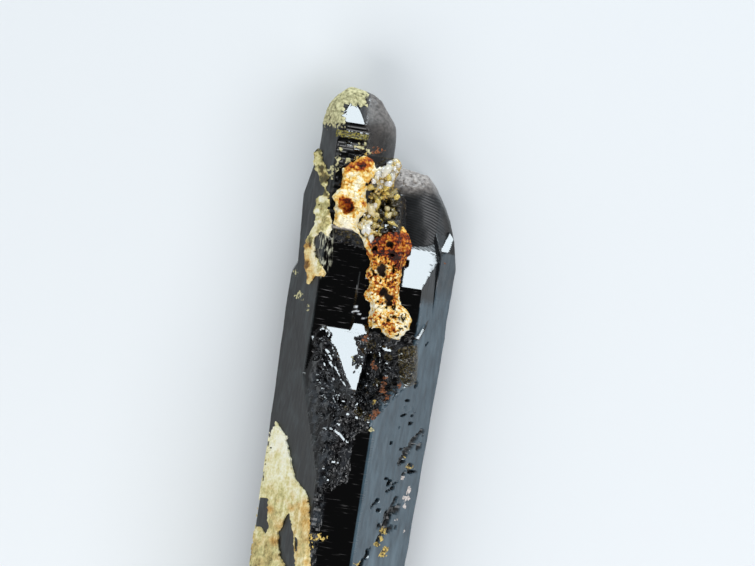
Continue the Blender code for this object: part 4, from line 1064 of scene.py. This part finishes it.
limonite = {
    "outline": [(-7.3, 63.4), (-6.3, 64.5), (-5.0, 65.5), (-3.9, 66.1), (-2.9, 65.7), (-2.6, 64.8),
                (-1.9, 64.3), (-1.8, 63.7), (-2.4, 62.7), (-2.8, 61.6), (-3.2, 60.6), (-2.8, 59.1),
                (-2.7, 57.4), (-3.5, 56.1), (-3.9, 54.6), (-2.7, 53.2), (-1.2, 52.9), (0.6, 54.2),
                (2.2, 55.0), (3.4, 55.2), (4.3, 54.3), (4.9, 52.6), (4.9, 51.4), (4.6, 50.4), (4.2, 48.9),
                (4.3, 47.8), (4.4, 44.9), (5.0, 43.4), (5.9, 42.7), (6.9, 41.2), (7.0, 39.5), (6.3, 38.8),
                (5.9, 37.5), (4.9, 37.5), (3.5, 38.3), (2.7, 39.0), (1.1, 38.8), (0.8, 39.8), (0.8, 41.9),
                (0.4, 43.1), (-0.3, 43.4), (-0.6, 44.8), (-0.2, 45.9), (-1.0, 47.0), (-0.9, 49.7),
                (-1.5, 51.4), (-3.0, 53.1), (-4.3, 54.2), (-5.1, 54.1), (-6.4, 54.0), (-7.6, 54.6),
                (-7.3, 56.0), (-7.8, 57.8), (-8.3, 58.8), (-7.9, 59.7), (-7.3, 60.4), (-7.5, 61.5)],
    "crater": [(-7.3, 58.4), (-6.8, 59.2), (-5.6, 59.1), (-4.9, 58.4), (-4.8, 57.2), (-5.5, 56.5),
               (-6.5, 56.8), (-7.3, 57.5)],
    "pockets": [(1.2, 48.6, 1.3), (1.5, 47.9, 1.0, 0.8), (2.1, 44.9, 1.0), (2.9, 44.2, 1.0),
                (3.2, 43.2, 0.8, 0.9), (1.9, 52.6, 0.9, 0.7), (-0.4, 51.5, 0.7, 0.7), (2.4, 50.9, 0.6, 0.6),
                (4.2, 41.2, 0.5, 0.5), (-3.2, 61.7, 0.5, 0.8)],
    "orangeStreak": [(-7.4, 62.6), (-7.4, 64.3), (-3.6, 66.4), (-2.3, 65.6), (-2.8, 64.4), (-6.4, 62.9)],
    "orange": [(3.7, 41.4, 1.5), (3.6, 46.4, 2.2), (3.6, 49.4, 1.9), (3.6, 43.6, 1.4), (4.4, 38.9, 1.1),
               (3.4, 40.0, 1.2), (-7.3, 60.8, 1.3), (-7.2, 62.0, 1.2), (-4.2, 60.2, 0.8), (-7.4, 57.2, 0.9),
               (-3.3, 58.4, 0.7)],
    "step": 0.095,
}


def limoniteShape(x, y):  # the torn depth inside the outline, the crater, the pockets and two sizes of grain
    depth = outlineDepth(x, y, limonite["outline"]) + 0.9 * (cloud(x, y, 1.0, 100) - 0.5)
    wx, wy = x + 0.8 * (cloud(x, y, 0.8, 111) - 0.5), y + 0.8 * (cloud(x, y, 0.8, 112) - 0.5)
    crater = outlineDepth(wx, wy, limonite["crater"])
    gaps = fade(cloud(x, y, 0.42, 113), 0.36, 0.27) * fade(y, 51.0, 49.0) * fade(depth, 0.2, 0.5)
    pockets = np.maximum(fade(spots(wx, wy, limonite["pockets"]), 0.15, 0.6), 0.85 * gaps)
    big, _ = grains(x, y, 1.25, 101)
    small, kind = grains(x + 0.2 * big, y, 0.56, 104)
    return depth, crater, pockets, big, small, kind


def limonitePiece():
    x, y = mapGrid(-9.2, 7.8, 36.6, 67.2, limonite["step"])
    depth, crater, pockets, big, small, kind = limoniteShape(x, y)
    ground = topHeight(x, y, floor=11.6)
    body = 0.30 + 0.5 * big + 0.5 * small * (0.3 + 0.7 * kind) + 0.5 * cloud(x, y, 2.4, 107)
    rim = fade(np.abs(crater + 0.9), 1.1, 0.1) * 0.9
    thickness = fade(depth, -0.15, 0.5) * (body + rim) * (1 - 0.85 * pockets)
    hollow = fade(crater, -0.15, 0.55)
    thickness = thickness * (1 - hollow) + hollow * 0.12 - 0.5 * (1 - fade(depth, -0.6, 0.0))
    return crustPiece("limoniteCrust", x, y, thickness, ground, 0.6)


def limoniteTint(piece):  # 0 dark brown, 0.3 orange-brown, 0.6 gold, 1 cream
    x, y, _ = workPlaces(piece)
    depth, crater, pockets, big, small, kind = limoniteShape(x, y)
    tint = np.full(x.shape, 0.81)
    for level, share in (
            (0.30, fade(outlineDepth(x, y, limonite["orangeStreak"]), -0.3, 0.4)),
            (0.10, fade(y, 56.4, 54.6) * fade(y, 49.0, 51.0) * fade(x, -2.6, -1.2)),  # the red-brown knob
            (0.54, fade(y, 50.8, 48.8) * fade(y, 42.0, 43.4)),
            (0.82, fade(y, 43.2, 41.6))):
        tint = tint + (level - tint) * share
    tint = tint - 0.36 * spots(x, y, limonite["orange"])
    rim = fade(np.abs(crater + 0.55), 0.8, 0.1)
    tint = tint + (0.80 - tint) * rim * 0.7
    # painted shade on one side of the crater's inside
    paintedCraterShade = 0.26 * fade(crater, -0.1, 0.3) * fade(x + 0.6 * (y - 58), -6.7, -5.6)
    tint = tint + (0.32 - tint) * fade(crater, -0.25, 0.15) - paintedCraterShade
    tint = tint + (1.0 - tint) * fade(y, 56.3, 54.9) * fade(x, -3.6, -4.2)
    thread = fade(np.abs((x + 3.0) * 0.72 + (y - 53.1) * 0.68), 0.4, 0.1)  # a thin bridge down to the knob
    thread = thread * fade(x, -0.6, -1.2) * fade(y, 54.9, 54.0)
    tint = tint + (0.82 - tint) * thread
    # lighter on the grains' tops and darker between the grains: painted light and shade, over patches and
    # grain tones that vary at random
    patchesAndGrainShade = 0.9 * (cloud(x, y, 1.5, 110) - 0.5) + 0.16 * (kind - 0.5) + 0.22 * (small - 0.4)
    patchesAndGrainShade = patchesAndGrainShade - 0.5 * fade(small, 0.18, 0.04) * fade(y, 53.0, 50.0) * fade(kind, 0.2, 0.6)
    tint = np.clip(tint + patchesAndGrainShade * (1 - 0.6 * fade(crater, -0.2, 0.2)), 0, 1)
    paint(piece, "crustTint", tint, pockets, fade(y, 47.0, 55.0), 1)


def limoniteMaterial():
    # Limonite: earthy iron hydroxide in crumbs, with painted shade in the gaps and pockets between them, dry
    # and without gloss, from brown to cream.
    material, tree, shader = newMaterial("earthyLimonite")
    place = addNode(tree, "TexCoord").outputs["Object"]
    kinds = addNode(tree, "SeparateColor",
                    {0: addNode(tree, "Attribute", attribute_name="crustTint").outputs["Color"]}).outputs
    crumbs = addNode(tree, "TexNoise", {"Vector": place, "Scale": 2400, "Detail": 4, "Roughness": 0.6})
    crumbs = crumbs.outputs["Fac"]
    cells = addNode(tree, "TexVoronoi", {"Vector": place, "Scale": 2500})
    cellTone = addNode(tree, "SeparateColor", {0: cells.outputs["Color"]}).outputs[0]
    # darker at the cell borders: painted shade between the crumbs
    gaps = addNode(tree, "MapRange", {0: cells.outputs["Distance"], 1: 0.45, 2: 0.8, 4: -0.2}).outputs[0]
    level = addNode(tree, "Math", {0: crumbs, 1: 1.3, 2: -0.9}, operation="MULTIPLY_ADD").outputs[0]
    level = addNode(tree, "Math", {0: cellTone, 1: 0.55, 2: level}, operation="MULTIPLY_ADD").outputs[0]
    level = addNode(tree, "Math", {0: level, 1: gaps}, operation="ADD").outputs[0]
    contrast = addNode(tree, "Math", {0: kinds[2], 1: -0.5, 2: 1.0}, operation="MULTIPLY_ADD").outputs[0]
    level = addNode(tree, "Math", {0: level, 1: contrast, 2: kinds[0]}, operation="MULTIPLY_ADD").outputs[0]
    color = addNode(tree, "ValToRGB", {0: level}, stops=[
        (0.0, "#2a0e04"), (0.14, "#7a2604"), (0.30, "#b8560a"), (0.46, "#dc9428"), (0.62, "#f0c25c"),
        (0.78, "#f8e09a"), (1.0, "#fff8df")]).outputs[0]
    # the pockets are coloured dark brown: painted shade in the hollows
    dark = addNode(tree, "Mix", {0: kinds[1], 6: color, 7: linear("#261a13")}, data_type="RGBA").outputs[2]
    tree.links.new(dark, shader.inputs["Base Color"])
    shader.inputs["Roughness"].default_value = 0.9
    bump = addNode(tree, "Bump", {"Height": crumbs, "Strength": 0.8, "Distance": 0.0004})
    tree.links.new(bump.outputs[0], shader.inputs["Normal"])
    return material


crust = limonitePiece()
limoniteTint(crust)
crispEdges(crust, 40)
crust.data.materials.append(limoniteMaterial())
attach(crust, "root")
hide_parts("limonite_crust")
print("4 limonite:", len(crust.data.polygons), "faces")


druse = {
    "outline": [(-2.7, 62.6), (-2.4, 63.7), (-1.8, 64.8), (-0.4, 65.3), (-0.1, 65.9), (0.7, 66.1),
                (1.5, 65.3), (0.9, 64.2), (0.7, 63.0), (0.7, 61.4), (1.9, 61.1), (2.4, 60.0), (2.0, 58.7),
                (2.1, 57.2), (2.2, 55.5), (1.9, 54.4), (0.3, 53.6), (-1.6, 53.3), (-2.8, 53.7),
                (-3.9, 54.9), (-3.3, 56.1), (-2.6, 57.4), (-2.7, 59.1), (-3.0, 60.6)],
    # mud beside the points
    "apron": [(1.4, 60.6), (2.6, 60.6), (3.2, 59.0), (3.3, 56.6), (3.4, 54.6), (3.2, 53.4), (1.6, 53.6)],
    "cavities": [(0.6, 59.0, 1.1), (-0.1, 58.3, 0.8), (1.0, 55.7, 1.0, 0.35), (-2.4, 60.6, 0.6),
                 (-0.4, 54.6, 0.6)],
    "tones": [(-0.9, 64.2, 1.7, 0.04), (-0.5, 61.7, 1.7, 0.52), (0.2, 63.4, 0.9, 0.5),
              (0.7, 58.7, 1.9, 0.80), (-1.6, 62.0, 1.0, 0.2), (1.1, 55.6, 1.7, 0.86),
              (-1.5, 55.2, 1.5, 0.36), (-2.9, 55.3, 1.2, 0.16), (-1.8, 58.0, 1.3, 0.5),
              (0.9, 65.6, 0.9, 0.4)],
    "seed": 8, "count": 120,
}


def druseTone(x, y):  # 0 white, 0.5 yellow, 0.8 dark olive-brown
    total, weight = 0.5 + 0 * x, 1.0 + 0 * x
    for px, py, reach, tone in druse["tones"]:
        near = 8 * np.exp(-((x - px) ** 2 + (y - py) ** 2) / reach ** 2)
        total, weight = total + near * tone, weight + near
    return total / weight


def druseBed():
    x, y = mapGrid(-4.6, 4.0, 52.4, 67.0, 0.11)
    depth = np.maximum(outlineDepth(x, y, druse["outline"]), outlineDepth(x, y, druse["apron"]))
    depth = depth + 0.7 * (cloud(x, y, 0.8, 120) - 0.5)
    ground = topHeight(x, y, floor=8.8)
    middle = np.maximum(ground, 11.2 - 0.25 * np.maximum(x, 0))
    lumps, kind = grains(x, y, 0.8, 121)
    top = middle + 0.6 * lumps * kind + 0.5 * cloud(x, y, 1.8, 122) - 1.4 * spots(x, y, druse["cavities"])
    edge = fade(depth, -0.2, 0.6)
    thickness = (top - ground) * edge - 0.5 * (1 - fade(depth, -0.6, 0.0))
    piece = crustPiece("druseBed", x, y, thickness, ground, 0.5)
    px, py, _ = workPlaces(piece)
    apron = fade(outlineDepth(px, py, druse["outline"]), 0.1, -0.3) * fade(px, 0.8, 1.4) * (py < 61.5)
    paint(piece, "bedTone", np.clip(druseTone(px, py) + 0.5 * (cloud(px, py, 0.7, 124) - 0.4) + apron, 0, 1))
    return piece, x, y, ground + thickness


def drusePoints(gridX, gridY, gridTop):
    # each point: a six-sided prism with rings at its foot and neck and one tip, leaned by two angles
    chance = np.random.default_rng(druse["seed"])
    corners = np.array(druse["outline"])
    places = chance.uniform(corners.min(0), corners.max(0), (4000, 2))
    inHollow = spots(places[:, 0], places[:, 1], druse["cavities"]) > 0.6
    inOutline = outlineDepth(places[:, 0], places[:, 1], druse["outline"]) > 0.05
    places = places[inOutline & ~inHollow][:druse["count"]]
    count = len(places)
    step = gridX[0, 1] - gridX[0, 0]
    column = np.clip(((places[:, 0] - gridX[0, 0]) / step).astype(int), 0, gridX.shape[1] - 1)
    row = np.clip(((places[:, 1] - gridY[0, 0]) / step).astype(int), 0, gridX.shape[0] - 1)
    height = gridTop[row, column]
    radius = 0.18 + 0.52 * chance.random(count) ** 1.8
    tall = radius * chance.uniform(0.3, 2.0, count)
    turn = chance.uniform(0, 60, (count, 1)) + np.arange(6) * 60
    ring = np.stack([np.cos(np.radians(turn)), np.sin(np.radians(turn))], -1) * radius[:, None, None]
    foot = np.concatenate([ring, np.full((count, 6, 1), -1.0) * radius[:, None, None]], -1)
    neck = np.concatenate([ring, (tall * 0.6)[:, None, None] * np.ones((count, 6, 1))], -1)
    tip = np.stack([0 * tall, 0 * tall, tall * 0.6 + radius * 1.7], -1)[:, None]
    bottom = np.stack([0 * tall, 0 * tall, -radius], -1)[:, None]
    points = np.concatenate([foot, neck, tip, bottom], axis=1)
    leanX, leanY = np.radians(chance.uniform(-62, 62, count)), np.radians(chance.uniform(-62, 62, count))
    cx, sx, cy, sy = np.cos(leanX), np.sin(leanX), np.cos(leanY), np.sin(leanY)
    y2 = points[..., 1] * cx[:, None] - points[..., 2] * sx[:, None]
    z2 = points[..., 1] * sx[:, None] + points[..., 2] * cx[:, None]
    x2 = points[..., 0] * cy[:, None] + z2 * sy[:, None]
    z2 = z2 * cy[:, None] - points[..., 0] * sy[:, None]
    points = np.stack([x2 + places[:, :1], y2 + places[:, 1:], z2 + height[:, None] + 0.1], -1)
    k = np.arange(6)
    walls = np.stack([k, (k + 1) % 6, (k + 1) % 6 + 6, k + 6], -1)
    fans = np.concatenate([np.stack([k + 6, (k + 1) % 6 + 6, np.full(6, 12)], -1),
                           np.stack([(k + 1) % 6, k, np.full(6, 13)], -1)])
    first = (np.arange(count) * 14)[:, None, None]
    allWalls, allFans = (walls[None] + first).reshape(-1, 4), (fans[None] + first).reshape(-1, 3)
    piece = makePiece("drusePoints", points, allWalls, allFans)
    tone = np.clip(druseTone(places[:, 0], places[:, 1]) + chance.normal(0, 0.22, count), 0, 1)
    paint(piece, "druseTone", np.repeat(tone, 14))
    return piece


def bedMaterial():
    # Milky quartz mixed with iron stain and mud: the granular seat of the little points.
    material, tree, shader = newMaterial("stainedMilkyQuartz")
    place = addNode(tree, "TexCoord").outputs["Object"]
    tone = addNode(tree, "SeparateColor",
                   {0: addNode(tree, "Attribute", attribute_name="bedTone").outputs["Color"]}).outputs[0]
    fine = addNode(tree, "TexNoise", {"Vector": place, "Scale": 2600, "Detail": 3}).outputs["Fac"]
    spread = addNode(tree, "Math", {0: fine, 1: 1.6, 2: -0.8}, operation="MULTIPLY_ADD").outputs[0]
    level = addNode(tree, "Math", {0: spread, 1: tone}, operation="ADD").outputs[0]
    color = addNode(tree, "ValToRGB", {0: level}, stops=[
        (0.05, "#f8f3e4"), (0.3, "#e0d3a8"), (0.5, "#cfa842"), (0.68, "#5d4c26"),
        (0.9, "#120b06")]).outputs[0]
    tree.links.new(color, shader.inputs["Base Color"])
    shader.inputs["Roughness"].default_value = 0.35
    shader.inputs["IOR"].default_value = quartzIor
    bump = addNode(tree, "Bump", {"Height": fine, "Strength": 0.8, "Distance": 0.0003})
    tree.links.new(bump.outputs[0], shader.inputs["Normal"])
    return material


def pointsMaterial():
    # Small quartz points, from clear and milky to iron yellow and smoky: sharp edges that glitter.
    material, tree, shader = newMaterial("clearQuartzPoints")
    tones = addNode(tree, "SeparateColor",
                    {0: addNode(tree, "Attribute", attribute_name="druseTone").outputs["Color"]}).outputs
    color = addNode(tree, "ValToRGB", {0: tones[0]}, stops=[
        (0.0, "#ffffff"), (0.28, "#fdf7e4"), (0.46, "#f6d970"), (0.60, "#dcc379"), (0.76, "#6b6246"),
        (1.0, "#1d160d")]).outputs[0]
    tree.links.new(color, shader.inputs["Base Color"])
    shader.inputs["Transmission Weight"].default_value = 0.4
    shader.inputs["Roughness"].default_value = 0.06
    shader.inputs["IOR"].default_value = quartzIor
    return material


bed, bedX, bedY, bedTop = druseBed()
bed.data.materials.append(bedMaterial())
crispEdges(bed, 40)
points = drusePoints(bedX, bedY, bedTop)
points.data.materials.append(pointsMaterial())
for piece in (bed, points):
    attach(piece, "root")
    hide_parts("quartz_druse")
print("5 druse:", druse["count"], "points")


# box: low and high x, low and high y; floor: lowest height; edge: where the coat ends at the crystal's edge
upperCoat = {
    "outline": [(-12.3, 65.4), (-12.2, 64.0), (-12.0, 62.9), (-11.0, 61.3), (-10.2, 59.9), (-10.0, 59.2),
                (-10.9, 58.3), (-11.2, 56.7), (-10.7, 55.2), (-10.8, 53.5), (-11.5, 51.8), (-11.7, 50.2),
                (-11.6, 49.3), (-10.8, 46.3), (-10.2, 44.5), (-9.2, 45.9), (-7.8, 46.1), (-7.8, 46.8),
                (-8.9, 48.1), (-10.0, 49.6), (-10.2, 51.6), (-9.6, 53.0), (-8.2, 52.6), (-7.9, 53.9),
                (-8.5, 55.9), (-8.9, 58.2), (-9.5, 60.0), (-9.6, 61.9), (-10.3, 63.7), (-11.0, 64.4),
                (-11.5, 65.9), (-11.9, 65.8)],
    "holes": [(-9.6, 55.5, 0.7), (-10.3, 57.2, 0.4), (-9.4, 54.2, 0.4), (-8.8, 56.9, 0.3)],
    "box": (-13.4, -7.0, 43.4, 66.6), "raggedness": 0.85, "thick": 0.26, "floor": 7.4, "edge": -12.5,
}
lowerCoat = {
    "outline": [(-11.9, 21.6), (-9.8, 19.5), (-9.1, 17.3), (-7.4, 12.8), (-5.3, 11.2), (-4.4, 9.1),
                (-3.8, 6.1), (-4.0, 4.0), (-3.1, 2.1), (-2.8, -0.6), (-3.6, -5.0), (-6.2, -8.4),
                (-7.0, -12.0), (-9.4, -14.2), (-11.4, -13.0), (-12.1, -8.0), (-12.35, -2.0), (-12.4, 3.2),
                (-12.5, 9.6), (-12.5, 15.0), (-12.4, 18.6)],
    "windows": [[(-12.9, 9.1), (-11.3, 9.1), (-10.4, 4.4), (-10.7, 3.2), (-11.6, 4.3), (-12.9, 4.3)],
                [(-7.5, 7.5), (-6.8, 5.9), (-6.1, 3.7), (-5.2, -1.0), (-5.6, -3.6), (-6.8, -3.0),
                 (-7.0, -1.1), (-8.0, 0.3), (-8.6, 2.2), (-8.7, 3.9), (-8.2, 5.8)],
                [(-6.1, 3.9), (-5.5, 3.6), (-5.2, 1.5), (-5.6, 1.2)]],
    "holes": [(-10.6, 17.6, 0.3), (-12.0, 17.2, 0.25), (-8.9, 12.5, 0.2), (-7.0, 9.4, 0.3),
              (-10.0, 14.0, 0.2)],
    "stained": [(-5.0, 8.8, 2.0), (-8.6, 5.2, 1.5), (-9.3, 2.6, 1.3), (-4.3, 6.0, 1.4), (-10.6, 7.4, 1.2),
                (-7.3, 8.3, 1.1)],
    "box": (-12.72, -2.2, -15.4, 22.8), "raggedness": 0.8, "thick": 0.30, "floor": 6.6, "edge": -12.62,
}


def coatPiece(name, coat, step, seed):
    lowX, highX, lowY, highY = coat["box"]
    x, y = mapGrid(lowX, highX, lowY, highY, step)
    depth = outlineDepth(x, y, coat["outline"])
    for window in coat.get("windows", []):
        depth = np.minimum(depth, -outlineDepth(x, y, window))
    torn = 0.6 * cloud(x, y, 1.0, seed) + 0.4 * cloud(x, y, 0.4, seed + 9, 2) - 0.5
    depth = depth + coat["raggedness"] * torn - 0.8 * spots(x, y, coat["holes"])
    insideEdge = x - coat["edge"] + 0.35 * (cloud(x, y, 0.7, seed + 7) - 0.5)
    depth = np.minimum(depth, insideEdge)
    ground = topHeight(x, y, floor=coat["floor"])
    lumps, _ = grains(x, y, 0.6, seed + 3)
    body = coat["thick"] * (0.7 + 0.5 * cloud(x, y, 1.8, seed + 5)) + 0.10 * lumps
    thickness = 2.0 * (fade(depth, -0.1, 0.22) * body - 0.3 * (1 - fade(depth, -0.4, 0.0)))
    return crustPiece(name, x, y, thickness, ground, 0.5, coat["floor"])


def coatTint(piece, seed, shade, stain):
    x, y, _ = workPlaces(piece)
    streaks = cloud(x * 2.6, y * 0.55, 1.0, seed + 1)
    mottled = 0.42 * cloud(x, y, 3.2, seed) + 0.55 * streaks + 0.42 * cloud(x, y, 0.5, seed + 4)
    ochre = stain(x, y) + 1.0 * (cloud(x, y, 0.9, seed + 6) - 0.5)
    paint(piece, "coatTint", mottled - 0.18 + shade(x, y), np.clip(ochre, 0, 1))


def clayMaterial():
    # Dried clay: a chalky pale yellow film, streaked and stained ochre by iron, with no shine at all.
    material, tree, shader = newMaterial("driedYellowClay")
    place = addNode(tree, "TexCoord").outputs["Object"]
    kinds = addNode(tree, "SeparateColor",
                    {0: addNode(tree, "Attribute", attribute_name="coatTint").outputs["Color"]}).outputs
    fine = addNode(tree, "TexNoise", {"Vector": place, "Scale": 2400, "Detail": 5, "Roughness": 0.6})
    fine = fine.outputs["Fac"]
    speckled = addNode(tree, "Math", {0: fine, 1: 0.9, 2: -0.45}, operation="MULTIPLY_ADD").outputs[0]
    level = addNode(tree, "Math", {0: kinds[0], 1: speckled}, operation="ADD").outputs[0]
    pale = addNode(tree, "ValToRGB", {0: level}, stops=[
        (0.0, "#4f4a2c"), (0.16, "#8d8452"), (0.34, "#beb47a"), (0.52, "#dcd297"), (0.72, "#ece6bd"),
        (0.92, "#f6f3de")]).outputs[0]
    ochre = addNode(tree, "ValToRGB", {0: level}, stops=[
        (0.0, "#5c3d1c"), (0.3, "#a67c3b"), (0.55, "#d0a355"), (0.9, "#eed898")]).outputs[0]
    color = addNode(tree, "Mix", {0: kinds[1], 6: pale, 7: ochre}, data_type="RGBA").outputs[2]
    tree.links.new(color, shader.inputs["Base Color"])
    shader.inputs["Roughness"].default_value = 0.95
    bump = addNode(tree, "Bump", {"Height": fine, "Strength": 0.6, "Distance": 0.0003})
    tree.links.new(bump.outputs[0], shader.inputs["Normal"])
    return material


def upperShade(x, y):
    mottled = 0.5 * (fade(cloud(x, y, 1.1, 27), 0.36, 0.60) - 0.7)
    along = 0.04 * fade(y, 59.0, 54.0) - 0.14 * fade(y, 56.0, 61.0)
    return along + 0.16 * fade(x + 0.25 * (y - 50), -11.0, -9.8) * fade(y, 53.5, 51.5) + mottled


def upperStain(x, y):
    leftRim, lowEnd = fade(x + 0.25 * (y - 50), -10.2, -11.2), fade(y, 47.5, 45.5)
    return fade(y, 53.0, 50.0) * (0.35 + 0.6 * leftRim + 0.5 * lowEnd)


def lowerShade(x, y):
    return 0.22 * fade(y, 9.0, 17.0) - 0.16 * fade(y, 5.0, 0.0) * fade(x, -8.0, -10.0) + 0.06


def lowerStain(x, y):
    edges = spots(x, y, lowerCoat["stained"])
    return edges * 0.6 + 0.5 * fade(y, 12.0, 6.0) * (0.45 + 0.55 * fade(x, -7.5, -5.0))


clay = clayMaterial()
for name, coat, step, seed, shade, stain, node in (
        ("upperClayCoat", upperCoat, 0.09, 140, upperShade, upperStain, "upper_clay_coat"),
        ("lowerClayCoat", lowerCoat, 0.11, 160, lowerShade, lowerStain, "lower_clay_coat")):
    piece = coatPiece(name, coat, step, seed)
    coatTint(piece, seed + 7, shade, stain)
    crispEdges(piece, 50)
    piece.data.materials.append(clay)
    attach(piece, "root")
    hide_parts(node)
print("6 coats laid")


studio = {
    "floorHalf": 4.0, "floorTone": "#dfe2e4",  # metres
    "skyTone": "#f0f4f8", "skyBright": 0.60, "skyDark": 0.05, "darkAbove": (0.93, 0.80),
    "lights": [  # name, azimuth from +Y toward +X, elevation, distance, width, height, brightness, colour
        ("tipSoftbox", 0, 13.6, 0.60, 0.34, 0.15, 17.6, "#ecf8ff"),
        ("rightSoftbox", 100, 47, 0.70, 0.60, 0.40, 2.8, "#fbfcff"),
        ("frontSoftbox", 196, 42, 0.50, 0.50, 0.30, 3.4, "#ffffff")],
    "viewCentre": (1.02, 21.76, 12.0), "viewWidth": 121.8,  # millimetres in the row frame
    "viewTurn": 8.9, "lens": 1000.0,
}


def studioFloor():
    half = studio["floorHalf"]
    count = 9
    share = np.linspace(-half, half, count)
    x, y = np.meshgrid(share, share)
    index = np.arange(count * count).reshape(count, count)
    quads = np.stack([index[:-1, :-1], index[:-1, 1:], index[1:, 1:], index[1:, :-1]], -1).reshape(-1, 4)
    floor = makePiece("studioFloor", np.stack([x, y, 0 * x], -1) / mmToMetres - rowShift, quads)
    material, tree, shader = newMaterial("paleMattBoard")
    shader.inputs["Base Color"].default_value = linear(studio["floorTone"])
    shader.inputs["Roughness"].default_value = 0.9
    floor.data.materials.append(material)


def studioLights():
    for name, azimuth, elevation, distance, width, height, brightness, tone in studio["lights"]:
        a, e = math.radians(azimuth), math.radians(elevation)
        data = bpy.data.lights.new(name, "AREA")
        data.shape, data.size, data.size_y = "RECTANGLE", width, height
        data.energy = brightness * math.pi * width * height
        data.color = linear(tone)[:3]
        light = bpy.data.objects.new(name, data)
        light.location = (distance * math.sin(a) * math.cos(e), distance * math.cos(a) * math.cos(e),
                          distance * math.sin(e))
        light.rotation_euler = light.location.to_track_quat("Z", "Y").to_euler()
        light.visible_camera = False
        bpy.context.scene.collection.objects.link(light)
    # bright all round and dark straight above, where the viewer leans over
    world = bpy.data.worlds.new("openSky")
    world.use_nodes = True
    sky = world.node_tree
    direction = addNode(sky, "TexCoord").outputs["Generated"]
    upward = addNode(sky, "SeparateXYZ", {0: direction}).outputs[2]
    fullyDark, fullyBright = studio["darkAbove"]
    strength = addNode(sky, "MapRange", {0: upward, 1: fullyBright, 2: fullyDark, 3: studio["skyBright"],
                                         4: studio["skyDark"]}, interpolation_type="SMOOTHSTEP")
    sky.nodes["Background"].inputs[0].default_value = linear(studio["skyTone"])
    sky.links.new(strength.outputs[0], sky.nodes["Background"].inputs[1])
    bpy.context.scene.world = world


def studioCamera():
    data = bpy.data.cameras.new("overhead")
    data.lens = studio["lens"]
    x, y, z = studio["viewCentre"]
    away = studio["viewWidth"] * studio["lens"] / data.sensor_width
    camera = bpy.data.objects.new("overhead", data)
    camera.location = (x * mmToMetres, y * mmToMetres, (z + away) * mmToMetres)
    camera.rotation_euler = (0, 0, math.radians(studio["viewTurn"]))
    bpy.context.scene.collection.objects.link(camera)
    bpy.context.scene.camera = camera


studioFloor()
studioLights()
studioCamera()
bpy.context.scene.view_settings.view_transform = "Standard"
print("7 studio ready")
